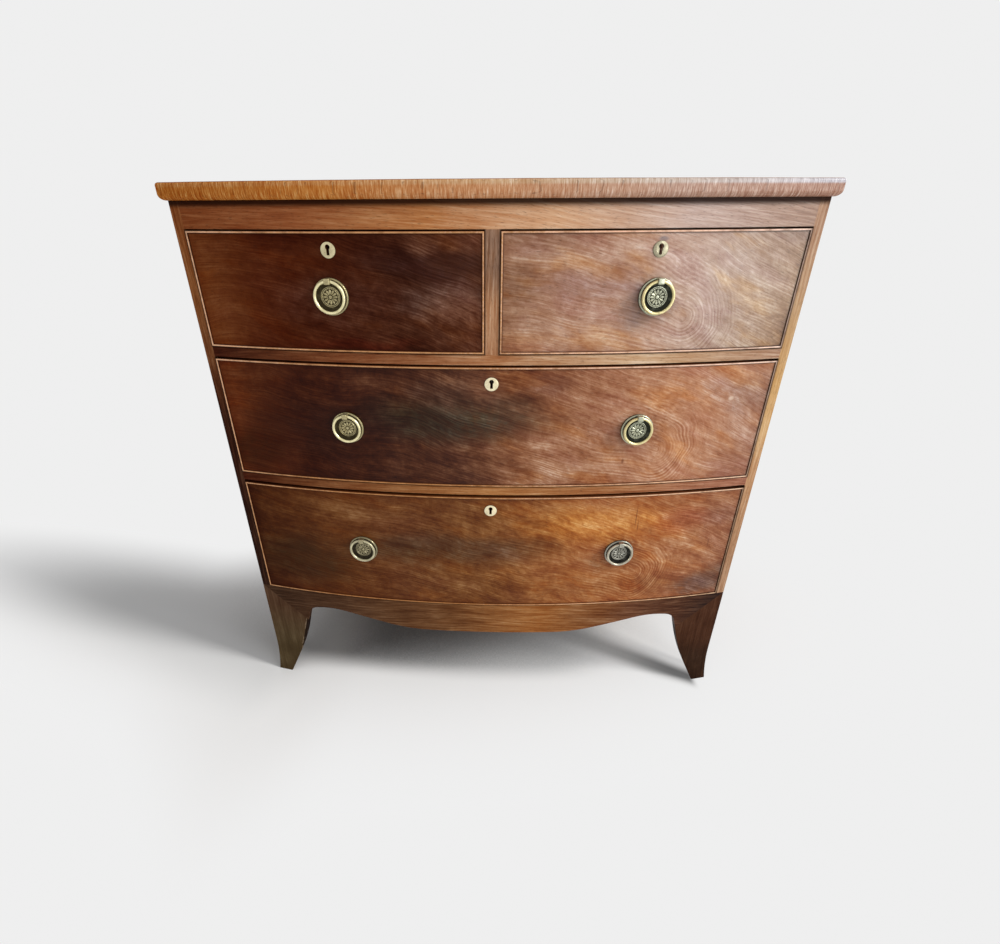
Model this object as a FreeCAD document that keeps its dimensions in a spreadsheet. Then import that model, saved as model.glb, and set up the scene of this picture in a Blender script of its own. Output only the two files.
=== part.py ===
"""Bow-fronted mahogany chest: two short drawers over two long ones, on splayed bracket feet.

Lengths are millimetres. X runs to the viewer's right, Y from the bowed front to the back and Z up.
The origin is on the floor, under the middle of the chest. The front of the case, its drawers,
rails and apron are all cut to circular arcs about one vertical axis behind the chest, the bow
axis, so the sizes below are bound to the bow's radius and to the heights of the drawer openings.
"""
import FreeCAD, Part
import math
import os
import Sketcher

DRIVING = {
    "body_width": 900, "overall_depth": 510, "bow_radius": 2116,
    "apron_top": 228.5, "lower_opening": 238.5, "middle_opening": 204.5, "upper_opening": 166,
    "rail_thickness": 15.5, "rail_reach": 90, "frieze_height": 35.7, "frieze_thickness": 30,
    "top_thickness": 22.3, "top_side_overhang": 8.5, "top_front_overhang": 9.5,
    "top_upper_round": 4, "top_lower_round": 8,
    "side_thickness": 15, "back_thickness": 10, "rebate_width": 8, "board_gap": 1,
    "muntin_width": 20.5, "partition_thickness": 18, "runner_width": 30, "centre_runner_width": 60,
    "dustboard_thickness": 7, "dustboard_rise": 4, "bottom_board_thickness": 14,
    "stop_width": 40, "stop_depth": 14, "stop_thickness": 4, "stop_clearance": 0.3,
    "stop_inner_offset": 122, "stop_outer_offset": 313,
    "skirt_thickness": 18, "apron_bottom": 160.5, "apron_level_half": 157.7, "apron_crest_half": 307.3,
    "apron_crest": 195.5, "foot_neck_half": 356, "foot_neck": 187, "foot_waist_half": 381,
    "foot_waist": 92, "foot_toe_half": 426, "flare_height": 80, "flare": 5.5,
    "sweep_radius": 328, "crest_radius": 155, "neck_radius": 26, "waist_radius": 500, "toe_radius": 4,
    "side_neck_radius": 9, "skirt_overrun": 45,
    "joint_half": 366, "joint_height": 153, "side_apron_bottom": 190, "foot_side_length": 104,
    "block_width": 30, "block_bottom": 60, "rear_bracket_thickness": 16, "rear_bracket_width": 92,
    "front_thickness": 22, "front_bottom_gap": 1, "front_side_gap": 0.8,
    "upper_gap": 2, "middle_gap": 3, "lower_gap": 4.5,
    "bead_thickness": 3, "bead_depth": 6, "bead_projection": 1.8,
    "drawer_side_thickness": 9, "drawer_back_thickness": 9, "drawer_bottom_thickness": 7,
    "drawer_bottom_rise": 7, "drawer_clearance": 0.4, "groove_depth": 4, "front_groove_depth": 8,
    "drawer_top_drop": 1.5, "drawer_back_drop": 6, "drawer_back_gap": 20, "tail_lap": 8,
    "tail_root": 15, "tail_end": 21,
    "upper_pull_height": 782, "middle_pull_height": 582, "lower_pull_height": 346,
    "pull_offset": 227.5, "upper_keyhole_offset": 224, "upper_escutcheon_drop": 23.5,
    "long_escutcheon_drop": 25.7,
    "plate_radius": 25.5, "rim_height": 3.5, "rim_width": 3.2, "rim_slope": 0.5, "dish_height": 1.4,
    "rosette_radius": 14.3, "rosette_height": 4.4, "rosette_slope": 1,
    "boss_radius": 2.2, "boss_foot_radius": 4.4, "boss_height": 5.0,
    "ring_radius": 21.4, "ring_wire_radius": 2.1, "ring_standoff": 8, "eye_half": 4.2,
    "eye_hole_radius": 2.9, "stud_radius": 2.2, "stud_end": 31, "nut_width": 11, "nut_thickness": 3.5,
    "nut_gap": 0.05,
    "escutcheon_radius": 10.5, "escutcheon_edge": 0.9, "escutcheon_dome": 1.6,
    "key_rise": 3.9, "key_radius": 2.9, "key_slot_width": 3.4, "key_slot_drop": 10.3,
    "lock_half_width": 28, "lock_below_key": 13, "lock_thickness": 11, "lock_cover": 3.5,
    "bolt_half_width": 10, "bolt_thickness": 6, "bolt_length": 16, "bolt_set_back": 0.3,
    "bolt_clearance": 0.35, "key_well_radius": 4.5, "lock_pin_radius": 1.2, "lock_pin_length": 11,
    "mortise_depth": 8,
}

doc = FreeCAD.newDocument("BowFrontChest")
sheet = doc.addObject("Spreadsheet::Sheet", "Sizes")
for row, (alias, number) in enumerate(DRIVING.items(), start=1):
    sheet.set(f"A{row}", alias)
    sheet.set(f"B{row}", str(number))
    sheet.setAlias(f"B{row}", alias)
doc.recompute()


class Length:
    """A size held twice: as a number, and as the formula that binds it to the sheet."""

    def __init__(self, number, formula):
        self.number = float(number)
        self.formula = formula

    def __add__(self, other):
        return combine(self, "+", other)

    def __radd__(self, other):
        return combine(other, "+", self)

    def __sub__(self, other):
        return combine(self, "-", other)

    def __rsub__(self, other):
        return combine(other, "-", self)

    def __mul__(self, other):
        return combine(self, "*", other)

    def __rmul__(self, other):
        return combine(other, "*", self)

    def __truediv__(self, other):
        return combine(self, "/", other)

    def __neg__(self):
        return combine(0, "-", self)


def as_length(value):
    return value if isinstance(value, Length) else Length(value, str(float(value)))


def combine(left, sign, right):
    left = as_length(left)
    right = as_length(right)
    rules = {
        "+": lambda a, b: a + b,
        "-": lambda a, b: a - b,
        "*": lambda a, b: a * b,
        "/": lambda a, b: a / b,
    }
    return Length(rules[sign](left.number, right.number), f"({left.formula} {sign} {right.formula})")


def square_root(value):
    return Length(math.sqrt(value.number), f"sqrt({value.formula})")


class Driving:
    """Reads a driving size by its alias, as a Length bound to the sheet."""

    def __getattr__(self, alias):
        return Length(DRIVING[alias], f"Sizes.{alias}")


size = Driving()

# Levels and faces that several pieces share.
half_width = size.body_width / 2
inner_half = half_width - size.side_thickness
back_y = size.overall_depth / 2
case_back_y = back_y - size.back_thickness
front_y = size.top_front_overhang - size.overall_depth / 2
bow_centre_y = front_y + size.bow_radius
lower_ceiling = size.apron_top + size.lower_opening
middle_floor = lower_ceiling + size.rail_thickness
middle_ceiling = middle_floor + size.middle_opening
upper_floor = middle_ceiling + size.rail_thickness
upper_ceiling = upper_floor + size.upper_opening
case_top = upper_ceiling + size.frieze_height
rail_back_y = front_y + size.rail_reach
board_bottom = size.apron_top - size.bottom_board_thickness
flare_radius = (size.flare_height * size.flare_height + size.flare * size.flare) / (size.flare * 2)

BACK_BOARD_COUNT = 4
SHORT_DRAWER_TAILS = 4
LONG_DRAWER_TAILS = 5
SAME_POINT = 1e-3


def bow_y(x, radius):
    """Where an arc of this radius about the bow axis crosses the given X."""
    x = as_length(x)
    return bow_centre_y - square_root(radius * radius - x * x)


def same(one, other):
    return abs(one - other) < SAME_POINT


# Shapes that the sub-parts are made of.

def new_body(name):
    return doc.addObject("PartDesign::Body", name)


def origin_feature(body, role):
    return [feature for feature in body.Origin.OriginFeatures if feature.Role == role][0]


def arc_between(start, end, radius, turn):
    """Circular arc from start to end, bulging to the right of the chord when turn is 1."""
    chord = end - start
    reach = math.sqrt(radius ** 2 - (chord.Length / 2) ** 2)
    left = FreeCAD.Vector(-chord.y, chord.x, 0).normalize()
    centre = (start + end) * 0.5 + left * (reach * turn)
    first, last = (start, end) if turn > 0 else (end, start)
    angles = [math.atan2(point.y - centre.y, point.x - centre.x) for point in (first, last)]
    circle = Part.Circle(centre, FreeCAD.Vector(0, 0, 1), radius)
    return Part.ArcOfCircle(circle, angles[0], angles[1])


def new_sketch(body, role):
    sketch = body.newObject("Sketcher::SketchObject", f"{body.Name}_sketch")
    sketch.AttachmentSupport = [(origin_feature(body, role), "")]
    sketch.MapMode = "FlatFace"
    return sketch


def bind_constraint(sketch, constraint, length):
    index = sketch.addConstraint(constraint)
    sketch.setExpression(f"Constraints[{index}]", length.formula)


def pin_point(sketch, geometry, point, across, up):
    """Fixes one sketch point by its two distances from the sketch's origin."""
    distance_x = Sketcher.Constraint("DistanceX", -1, 1, geometry, point, across.number)
    distance_y = Sketcher.Constraint("DistanceY", -1, 1, geometry, point, up.number)
    bind_constraint(sketch, distance_x, across)
    bind_constraint(sketch, distance_y, up)


def outline(body, role, corners, arcs=None):
    """Closed sketch through the corners; arcs maps a corner's index to (radius, turn)."""
    arcs = arcs or {}
    corners = [(as_length(across), as_length(up)) for across, up in corners]
    points = [FreeCAD.Vector(across.number, up.number, 0) for across, up in corners]
    sketch = new_sketch(body, role)
    ends = []
    for index, start in enumerate(points):
        end = points[(index + 1) % len(points)]
        if index in arcs:
            radius, turn = arcs[index]
            geometry = sketch.addGeometry(arc_between(start, end, radius.number, turn), False)
            ends.append((geometry, 1, 2) if turn > 0 else (geometry, 2, 1))
        else:
            geometry = sketch.addGeometry(Part.LineSegment(start, end), False)
            ends.append((geometry, 1, 2))
    for index, (geometry, first, _) in enumerate(ends):
        before, _, last = ends[index - 1]
        sketch.addConstraint(Sketcher.Constraint("Coincident", before, last, geometry, first))
    for index, (geometry, first, _) in enumerate(ends):
        pin_point(sketch, geometry, first, *corners[index])
        if index in arcs:
            radius = arcs[index][0]
            bind_constraint(sketch, Sketcher.Constraint("Radius", geometry, radius.number), radius)
    return sketch


def circle_sketch(body, role, across, up, radius):
    across = as_length(across)
    up = as_length(up)
    centre = FreeCAD.Vector(across.number, up.number, 0)
    sketch = new_sketch(body, role)
    circle = Part.Circle(centre, FreeCAD.Vector(0, 0, 1), radius.number)
    geometry = sketch.addGeometry(circle, False)
    pin_point(sketch, geometry, 3, across, up)
    bind_constraint(sketch, Sketcher.Constraint("Radius", geometry, radius.number), radius)
    return sketch


def extrude(body, kind, role, sketch, start, end):
    """Pad or Pocket a sketch from start to end along the axis its plane is square to."""
    start = as_length(start)
    end = as_length(end)
    middle = (start + end) / 2
    offset = -middle if role == "XZ_Plane" else middle
    sketch.setExpression("AttachmentOffset.Base.z", offset.formula)
    feature = body.newObject(f"PartDesign::{kind}", f"{body.Name}_{kind.lower()}")
    feature.Profile = sketch
    feature.SideType = "Symmetric"
    feature.setExpression("Length", (end - start).formula)
    return feature


def prism(name, role, corners, start, end, arcs=None):
    body = new_body(name)
    extrude(body, "Pad", role, outline(body, role, corners, arcs), start, end)
    return body


def rectangle(low, high):
    """The four corners of a rectangle in a sketch plane, from its low and high corners."""
    return [(low[0], low[1]), (high[0], low[1]), (high[0], high[1]), (low[0], high[1])]


def plank(name, low, high):
    """A square-edged piece between two opposite corners."""
    box = doc.addObject("Part::Box", name)
    spans = zip(("x", "y", "z"), ("Length", "Width", "Height"), low, high)
    for axis, extent, near, far in spans:
        near = as_length(near)
        far = as_length(far)
        box.setExpression(extent, (far - near).formula)
        box.setExpression(f"Placement.Base.{axis}", near.formula)
    return box


def band(name, x_low, x_high, inner, outer, bottom, top):
    """A curved strip between two arcs about the bow axis."""
    corners = [
        (x_low, bow_y(x_low, outer)), (x_high, bow_y(x_high, outer)),
        (x_high, bow_y(x_high, inner)), (x_low, bow_y(x_low, inner)),
    ]
    return prism(name, "XY_Plane", corners, bottom, top, {0: (outer, 1), 2: (inner, -1)})


def bow_board(name, x_low, x_high, radius, rear_y, bottom, top):
    """A board with a bowed front edge and a straight back edge."""
    corners = [
        (x_low, bow_y(x_low, radius)), (x_high, bow_y(x_high, radius)),
        (x_high, rear_y), (x_low, rear_y),
    ]
    return prism(name, "XY_Plane", corners, bottom, top, {0: (radius, 1)})


def turned(name, corners):
    """A round piece turned about its own Y axis; corners are (along Y, radius)."""
    body = new_body(name)
    spin(body, outline(body, "YZ_Plane", corners))
    return body


def spin(body, sketch):
    revolution = body.newObject("PartDesign::Revolution", f"{body.Name}_revolution")
    revolution.Profile = sketch
    revolution.ReferenceAxis = (sketch, ["H_Axis"])
    revolution.Angle = 360


def boolean(kind, name, base, tool):
    result = doc.addObject(f"Part::{kind}", name)
    result.Base = base
    result.Tool = tool
    return result


def carve(name, base, tools):
    """The base with each tool's shape taken out of it in turn."""
    for tool in tools:
        base = boolean("Cut", f"{name}_cut", base, tool)
    return base


def mirrored(source):
    """The same piece for the other side of the chest."""
    mirror = doc.addObject("Part::Mirroring", f"{source.Name}_mirrored")
    mirror.Source = source
    mirror.Normal = FreeCAD.Vector(1, 0, 0)
    return mirror


def round_edges(body, base, radius, wanted):
    """Fillets the edges of a feature whose start and end points pass the test."""
    doc.recompute()
    names = [
        f"Edge{index}" for index, edge in enumerate(base.Shape.Edges, start=1)
        if wanted(*[edge.valueAt(at) for at in (edge.FirstParameter, edge.LastParameter)])
    ]
    fillet = body.newObject("PartDesign::Fillet", f"{body.Name}_fillet")
    fillet.Base = (base, names)
    fillet.setExpression("Radius", radius.formula)
    return fillet


def seat(piece, x, z):
    """Puts a fitting on the bow: its X runs across, its Y into the wood and its Z up."""
    x = as_length(x)
    piece.setExpression("Placement.Base.x", x.formula)
    piece.setExpression("Placement.Base.y", bow_y(x, size.bow_radius).formula)
    piece.setExpression("Placement.Base.z", as_length(z).formula)
    piece.setExpression("Placement.Rotation.Angle", f"asin({x.formula} / Sizes.bow_radius)")
    return piece


NODES = []


def keep(node, *pieces):
    """Records one sub-part under its node name; several pieces become a group of solids."""
    if len(pieces) == 1:
        part = pieces[0]
    else:
        part = doc.addObject("Part::Compound", f"{node}_group")
        part.Links = list(pieces)
    if part.Label != node:
        part.Label = node
    NODES.append(part)
    return part


# Carcase.

def make_top_board():
    reach = half_width + size.top_side_overhang
    radius = size.bow_radius + size.top_front_overhang
    top = case_top + size.top_thickness
    body = bow_board("top_board", -reach, reach, radius, back_y, case_top, top)
    back = back_y.number

    def on_show(level):
        """Edges of the front and both ends that lie at one level."""
        def wanted(start, end):
            level_edge = same(start.z, level.number) and same(end.z, level.number)
            at_back = same(start.y, back) and same(end.y, back)
            return level_edge and not at_back
        return wanted

    upper = round_edges(body, body.Tip, size.top_upper_round, on_show(top))
    round_edges(body, upper, size.top_lower_round, on_show(case_top))
    keep("top_board", body)


def make_carcase_sides():
    """Two side panels, rebated at the back for the back boards."""
    panel = bow_board("side_panel", inner_half, half_width, size.bow_radius, back_y,
                      size.apron_top, case_top)
    rebate = plank("side_rebate", (inner_half, case_back_y, size.apron_top),
                   (inner_half + size.rebate_width, back_y, case_top))
    right = boolean("Cut", "side_right", panel, rebate)
    keep("carcase_sides", right, mirrored(right))


def make_back_boards():
    """Upright back boards, butted side by side in the side panels' rebates."""
    reach = inner_half + size.rebate_width
    width = reach * 2 / BACK_BOARD_COUNT
    boards = []
    for index in range(BACK_BOARD_COUNT):
        low = -reach + width * index
        boards.append(plank(f"back_board_{index}", (low, case_back_y, size.apron_top),
                            (low + width - size.board_gap, back_y, case_top)))
    keep("back_boards", *boards)


def make_frieze_rail(mortises):
    rail = band("frieze_blank", -inner_half, inner_half, size.bow_radius - size.frieze_thickness,
                size.bow_radius, upper_ceiling, case_top)
    keep("frieze_rail", carve("frieze_rail", rail, mortises))


def make_drawer_rails(middle_mortise, lower_mortise):
    """The two rails under the short drawers and under the upper long drawer."""
    levels = [(middle_ceiling, upper_floor, middle_mortise), (lower_ceiling, middle_floor, lower_mortise)]
    rails = []
    for bottom, top, mortise in levels:
        blank = bow_board("rail_blank", -inner_half, inner_half, size.bow_radius, rail_back_y,
                          bottom, top)
        rails.append(boolean("Cut", "rail", blank, mortise))
    keep("drawer_rails", *rails)


def make_division():
    """The upright between the short drawers, and the board behind it."""
    half_muntin = size.muntin_width / 2
    half_board = size.partition_thickness / 2
    muntin = band("centre_muntin", -half_muntin, half_muntin, size.bow_radius - size.front_thickness,
                  size.bow_radius, upper_floor, upper_ceiling)
    board = plank("partition_blank", (-half_board, front_y + size.bead_depth, upper_floor),
                  (half_board, case_back_y, upper_ceiling))
    keep("centre_muntin", muntin)
    keep("centre_partition", boolean("Cut", "centre_partition", board, muntin))


def make_runners():
    """Strips along the sides that the drawers slide on and are held down by."""
    outer = inner_half - size.runner_width
    centre_half = size.centre_runner_width / 2
    frieze_back = front_y + size.frieze_thickness + size.stop_clearance
    kicker_top = upper_ceiling + size.rail_thickness
    strips = []
    for bottom, top in ((middle_ceiling, upper_floor), (lower_ceiling, middle_floor)):
        strips.append(plank("runner", (outer, rail_back_y, bottom), (inner_half, case_back_y, top)))
    kicker_front = bow_y(inner_half, size.bow_radius - size.frieze_thickness)
    strips.append(plank("kicker", (outer, kicker_front, upper_ceiling),
                        (inner_half, case_back_y, kicker_top)))
    strips += [mirrored(strip) for strip in strips]
    strips.append(plank("centre_runner", (-centre_half, rail_back_y, middle_ceiling),
                        (centre_half, case_back_y, upper_floor)))
    strips.append(plank("centre_kicker", (-centre_half, frieze_back, upper_ceiling),
                        (centre_half, case_back_y, kicker_top)))
    keep("runners", *strips)


def make_dustboards():
    """Thin boards that close the frames between the drawers."""
    outer = inner_half - size.runner_width
    centre_half = size.centre_runner_width / 2

    def sheet_of(name, x_low, x_high, frame_bottom):
        bottom = frame_bottom + size.dustboard_rise
        return plank(name, (x_low, rail_back_y, bottom),
                     (x_high, case_back_y, bottom + size.dustboard_thickness))

    keep("dustboards",
         sheet_of("dustboard_left", -outer, -centre_half, middle_ceiling),
         sheet_of("dustboard_right", centre_half, outer, middle_ceiling),
         sheet_of("dustboard_lower", -outer, outer, lower_ceiling))


def make_bottom_board():
    reach = half_width - size.skirt_thickness
    keep("bottom_board", bow_board("bottom_board", -reach, reach,
                                   size.bow_radius - size.skirt_thickness, back_y,
                                   board_bottom, size.apron_top))


def make_drawer_stops():
    """Small blocks behind each drawer front that stop it flush with the case."""
    near = size.front_thickness + size.stop_clearance
    half_stop = size.stop_width / 2
    blocks = []
    for floor in (size.apron_top, middle_floor, upper_floor):
        for offset in (size.stop_inner_offset, size.stop_outer_offset):
            for x in (-offset, offset):
                block = prism("stop", "XY_Plane",
                              rectangle((-half_stop, near), (half_stop, near + size.stop_depth)),
                              0, size.stop_thickness)
                blocks.append(seat(block, x, floor))
    keep("drawer_stops", *blocks)


def make_base():
    """Apron, bracket feet and glue blocks: one shaped skirt, jointed on a slant at each foot."""
    front = shaped_front_skirt()
    foot_region = prism("foot_region", "XZ_Plane", foot_region_corners(),
                        front_y - size.skirt_thickness, front_y + size.rail_reach)
    front_region, side_region = mitre_regions()
    apron = carve("front_apron", front, [foot_region, mirrored(foot_region),
                                         side_region, mirrored(side_region)])
    side_start = bow_y(half_width, size.bow_radius) + size.foot_side_length
    side_end = back_y - size.foot_side_length
    side_inner = half_width - size.skirt_thickness
    side_apron = plank("side_apron", (side_inner, side_start, size.side_apron_bottom),
                       (half_width, side_end, size.apron_top))
    keep("aprons", apron, side_apron, mirrored(side_apron))

    foot_face = boolean("Common", "foot_face", boolean("Common", "foot_blank", front, foot_region),
                        front_region)
    flared = flared_side_strip()
    corner_y = bow_y(half_width, size.bow_radius)
    front_side = boolean("Common", "foot_side_blank", flared, side_bracket("front_bracket", corner_y, 1))
    front_side = boolean("Common", "foot_side", front_side, side_region)
    inner = half_width - size.skirt_thickness
    block = bow_board("front_block", inner - size.block_width, inner,
                      size.bow_radius - size.skirt_thickness,
                      corner_y + size.skirt_thickness + size.block_width,
                      size.block_bottom, board_bottom)
    pieces = [foot_face, front_side, block]
    keep("feet_front", *pieces, *[mirrored(piece) for piece in pieces])

    rear_side = boolean("Common", "rear_foot_side", flared, side_bracket("rear_bracket", back_y, -1))
    rear_y = back_y - size.rear_bracket_thickness
    bracket = rear_bracket(inner, rear_y)
    width = size.block_width
    rear_block = plank("rear_block", (inner - width, rear_y - width, size.block_bottom),
                       (inner, rear_y, board_bottom))
    pieces = [rear_side, bracket, rear_block]
    keep("feet_back", *pieces, *[mirrored(piece) for piece in pieces])


def shaped_front_skirt():
    """The apron and both front feet in one, cut to their outline from a bowed, flared strip."""
    strip = new_body("front_strip")
    inner = -(size.bow_radius - size.skirt_thickness)
    outer = -size.bow_radius
    profile = [
        (outer, size.flare_height), (outer - size.flare, 0), (inner, 0),
        (inner, size.apron_top), (outer, size.apron_top),
    ]
    sketch = outline(strip, "YZ_Plane", profile, {0: (flare_radius, -1)})
    revolution = strip.newObject("PartDesign::Revolution", "front_strip_revolution")
    revolution.Profile = sketch
    revolution.ReferenceAxis = (sketch, ["V_Axis"])
    revolution.Midplane = True
    half_chord = half_width + size.skirt_overrun
    revolution.setExpression("Angle", f"2 * asin({half_chord.formula} / Sizes.bow_radius)")
    strip.setExpression("Placement.Base.y", bow_centre_y.formula)

    toe = half_width + size.flare
    right = [
        (half_width, size.apron_top), (half_width, size.flare_height), (toe, 0),
        (size.foot_toe_half, 0), (size.foot_waist_half, size.foot_waist),
        (size.foot_neck_half, size.foot_neck), (size.apron_crest_half, size.apron_crest),
        (size.apron_level_half, size.apron_bottom),
    ]
    left = [(-across, up) for across, up in reversed(right)]
    last = len(right) + len(left) - 1
    arcs = {1: (flare_radius, 1), last - 2: (flare_radius, 1)}
    shape = prism("skirt_outline", "XZ_Plane", right + left, front_y - size.skirt_thickness,
                  front_y + size.rail_reach, arcs)
    rounds = [
        (size.apron_level_half, size.apron_bottom, size.sweep_radius),
        (size.apron_crest_half, size.apron_crest, size.crest_radius),
        (size.foot_neck_half, size.foot_neck, size.neck_radius),
        (size.foot_waist_half, size.foot_waist, size.waist_radius),
        (size.foot_toe_half, as_length(0), size.toe_radius),
    ]
    base = shape.Tip
    for across, up, radius in rounds:
        base = round_edges(shape, base, radius, edge_over(across, up))
    return boolean("Common", "front_skirt", strip, shape)


def edge_over(across, up):
    """Test for the edges that run front to back at one height, the same distance either side."""
    def wanted(start, end):
        square_on = same(start.x, end.x)
        return square_on and all(
            same(abs(point.x), across.number) and same(point.z, up.number) for point in (start, end))
    return wanted


def foot_region_corners():
    """What lies outside the slanted joint between the apron and the right foot."""
    slope = (size.apron_top - size.joint_height) / (half_width - size.joint_half)
    near = size.joint_half - size.foot_side_length / 2
    far = half_width + size.skirt_thickness * 2
    return [
        (half_width, size.apron_top), (near, size.joint_height - slope * (size.foot_side_length / 2)),
        (near, -size.skirt_thickness), (far, -size.skirt_thickness),
        (far, size.apron_top + size.skirt_thickness), (half_width, size.apron_top + size.skirt_thickness),
    ]


def mitre_regions():
    """The front's and the side's share of the right front corner, split along its mitre."""
    corner_y = bow_y(half_width, size.bow_radius)
    sine = half_width / size.bow_radius
    cosine = square_root(1 - sine * sine)
    reach = size.skirt_thickness * 3
    outer = (half_width + reach * (1 + sine), corner_y - reach * cosine)
    inner = (half_width - reach * (1 + sine), corner_y + reach * cosine)
    far_x = half_width - size.foot_side_length * 2
    front = [outer, inner, (far_x, inner[1]), (far_x, outer[1] - reach), (outer[0], outer[1] - reach)]
    side = [outer, (outer[0], back_y), (inner[0], back_y), inner]
    top = size.apron_top + size.skirt_thickness
    return (prism("front_share", "XY_Plane", front, -size.skirt_thickness, top),
            prism("side_share", "XY_Plane", side, -size.skirt_thickness, top))


def flared_side_strip():
    """The strip that the right-hand feet's side brackets are cut from."""
    inner = half_width - size.skirt_thickness
    profile = [
        (half_width, size.apron_top), (half_width, size.flare_height), (half_width + size.flare, 0),
        (inner, 0), (inner, size.apron_top),
    ]
    return prism("side_strip", "XZ_Plane", profile, front_y, back_y, {1: (flare_radius, 1)})


def side_bracket(name, corner_y, along):
    """Outline of a foot seen from the side; along is 1 at the front and -1 at the back."""
    spread = size.flare * 2 if along > 0 else as_length(0)
    toe = half_width - size.foot_toe_half
    waist = half_width - size.foot_waist_half
    neck = half_width - size.foot_neck_half
    corners = [
        (-spread, size.apron_top), (-spread, 0), (toe, 0), (waist, size.foot_waist),
        (neck, size.foot_neck), (size.foot_side_length, size.side_apron_bottom),
        (size.foot_side_length, size.apron_top),
    ]
    corners = [(corner_y + depth * along, up) for depth, up in corners]
    body = prism(name, "YZ_Plane", corners, half_width - size.skirt_thickness * 2,
                 half_width + size.skirt_thickness)

    def over(depth, up):
        """Test for the edge that runs across at one depth and height."""
        def wanted(start, end):
            level = corner_y.number + depth.number * along
            return all(same(point.y, level) and same(point.z, up.number) for point in (start, end))
        return wanted

    neck_round = round_edges(body, body.Tip, size.side_neck_radius, over(neck, size.foot_neck))
    round_edges(body, neck_round, size.waist_radius, over(waist, size.foot_waist))
    return body


def rear_bracket(inner, rear_y):
    """Plain board across the back of the right rear foot."""
    waist = inner - (half_width - size.foot_waist_half)
    corners = [
        (inner, 0), (inner, board_bottom), (inner - size.rear_bracket_width, board_bottom),
        (inner - size.rear_bracket_width, size.foot_neck), (waist, size.foot_waist),
        (inner - size.block_width, 0),
    ]
    return prism("rear_bracket_board", "XZ_Plane", corners, rear_y, back_y)


# Drawers.

def drawer_side(name, x_low, length, height, shoulder_y, bottom, tail_length, tails):
    """One dovetailed side board: tails into the front, and through the back."""
    body = new_body(name)
    thickness = size.drawer_side_thickness
    blank = rectangle((0, 0), (length, height))
    extrude(body, "Pad", "YZ_Plane", outline(body, "YZ_Plane", blank), 0, thickness)
    back_bottom = size.drawer_bottom_rise + size.drawer_bottom_thickness
    back_span = height - back_bottom - size.drawer_back_drop
    add_tails(body, as_length(0), -tail_length, as_length(0), height, tails)
    add_tails(body, length, length + size.drawer_back_thickness, back_bottom, back_span, tails - 1)
    body.setExpression("Placement.Base.x", x_low.formula)
    body.setExpression("Placement.Base.y", shoulder_y.formula)
    body.setExpression("Placement.Base.z", bottom.formula)
    return body


def add_tails(body, root, end, start, span, count):
    """A row of equal dovetails up one end of a side board."""
    pitch = span / count
    middle = start + pitch / 2
    half_root = size.tail_root / 2
    half_end = size.tail_end / 2
    corners = [(root, middle - half_root), (end, middle - half_end),
               (end, middle + half_end), (root, middle + half_root)]
    tail = extrude(body, "Pad", "YZ_Plane", outline(body, "YZ_Plane", corners), 0,
                   size.drawer_side_thickness)
    pattern = body.newObject("PartDesign::LinearPattern", f"{body.Name}_tails")
    pattern.Originals = [tail]
    pattern.Direction = (origin_feature(body, "Z_Axis"), [""])
    pattern.setExpression("Length", (pitch * (count - 1)).formula)
    pattern.Occurrences = count
    body.Tip = pattern


def make_drawer(name, x_low, x_high, floor, ceiling, gap, keyhole_x, escutcheon_drop, pulls, tails):
    """One drawer with its fittings; returns the mortise that its lock bolt shoots into."""
    bottom = floor + size.front_bottom_gap
    top = ceiling - gap
    box_bottom = floor + size.drawer_clearance
    box_height = top - size.drawer_top_drop - box_bottom
    thickness = size.drawer_side_thickness
    outer_back = case_back_y - size.drawer_back_gap
    inner_back = outer_back - size.drawer_back_thickness
    inner_radius = size.bow_radius - size.front_thickness

    sheet_bottom = box_bottom + size.drawer_bottom_rise
    sheet_top = sheet_bottom + size.drawer_bottom_thickness
    inset = thickness - size.groove_depth
    panel = bow_board(f"{name}_bottom", x_low + inset, x_high - inset,
                      inner_radius + size.front_groove_depth, outer_back, sheet_bottom, sheet_top)
    keep(f"{name}_bottom", panel)

    sides = []
    for low in (x_low, x_high - thickness):
        faces = [low, low + thickness]
        faces.sort(key=lambda face: abs(face.number))
        shoulder = bow_y(faces[0], inner_radius)
        tail_tip = bow_y(faces[1], size.bow_radius - size.tail_lap)
        board = drawer_side(f"{name}_side", low, inner_back - shoulder, box_height, shoulder,
                            box_bottom, shoulder - tail_tip, tails)
        sides.append(boolean("Cut", f"{name}_side_grooved", board, panel))
    keep(f"{name}_sides", *sides)

    back = plank(f"{name}_back_blank", (x_low, inner_back, sheet_top),
                 (x_high, outer_back, box_bottom + box_height - size.drawer_back_drop))
    keep(f"{name}_back", carve(f"{name}_back", back, sides))

    beads = make_cock_beads(name, x_low, x_high, bottom, top)
    keyhole_drop = escutcheon_drop - size.key_rise
    keyhole_z = top - keyhole_drop
    lock_room = make_lock(name, keyhole_x, keyhole_z, keyhole_drop)
    keyhole = make_escutcheon(name, keyhole_x, keyhole_z)
    studs = make_pulls(name, pulls)
    slab = band(f"{name}_front_blank", x_low, x_high, inner_radius, size.bow_radius, bottom, top)
    keep(f"{name}_front", carve(f"{name}_front", slab,
                                [*beads, *sides, panel, lock_room, keyhole, *studs]))
    return bolt_mortise(name, keyhole_x, keyhole_z, keyhole_drop + gap)


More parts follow.
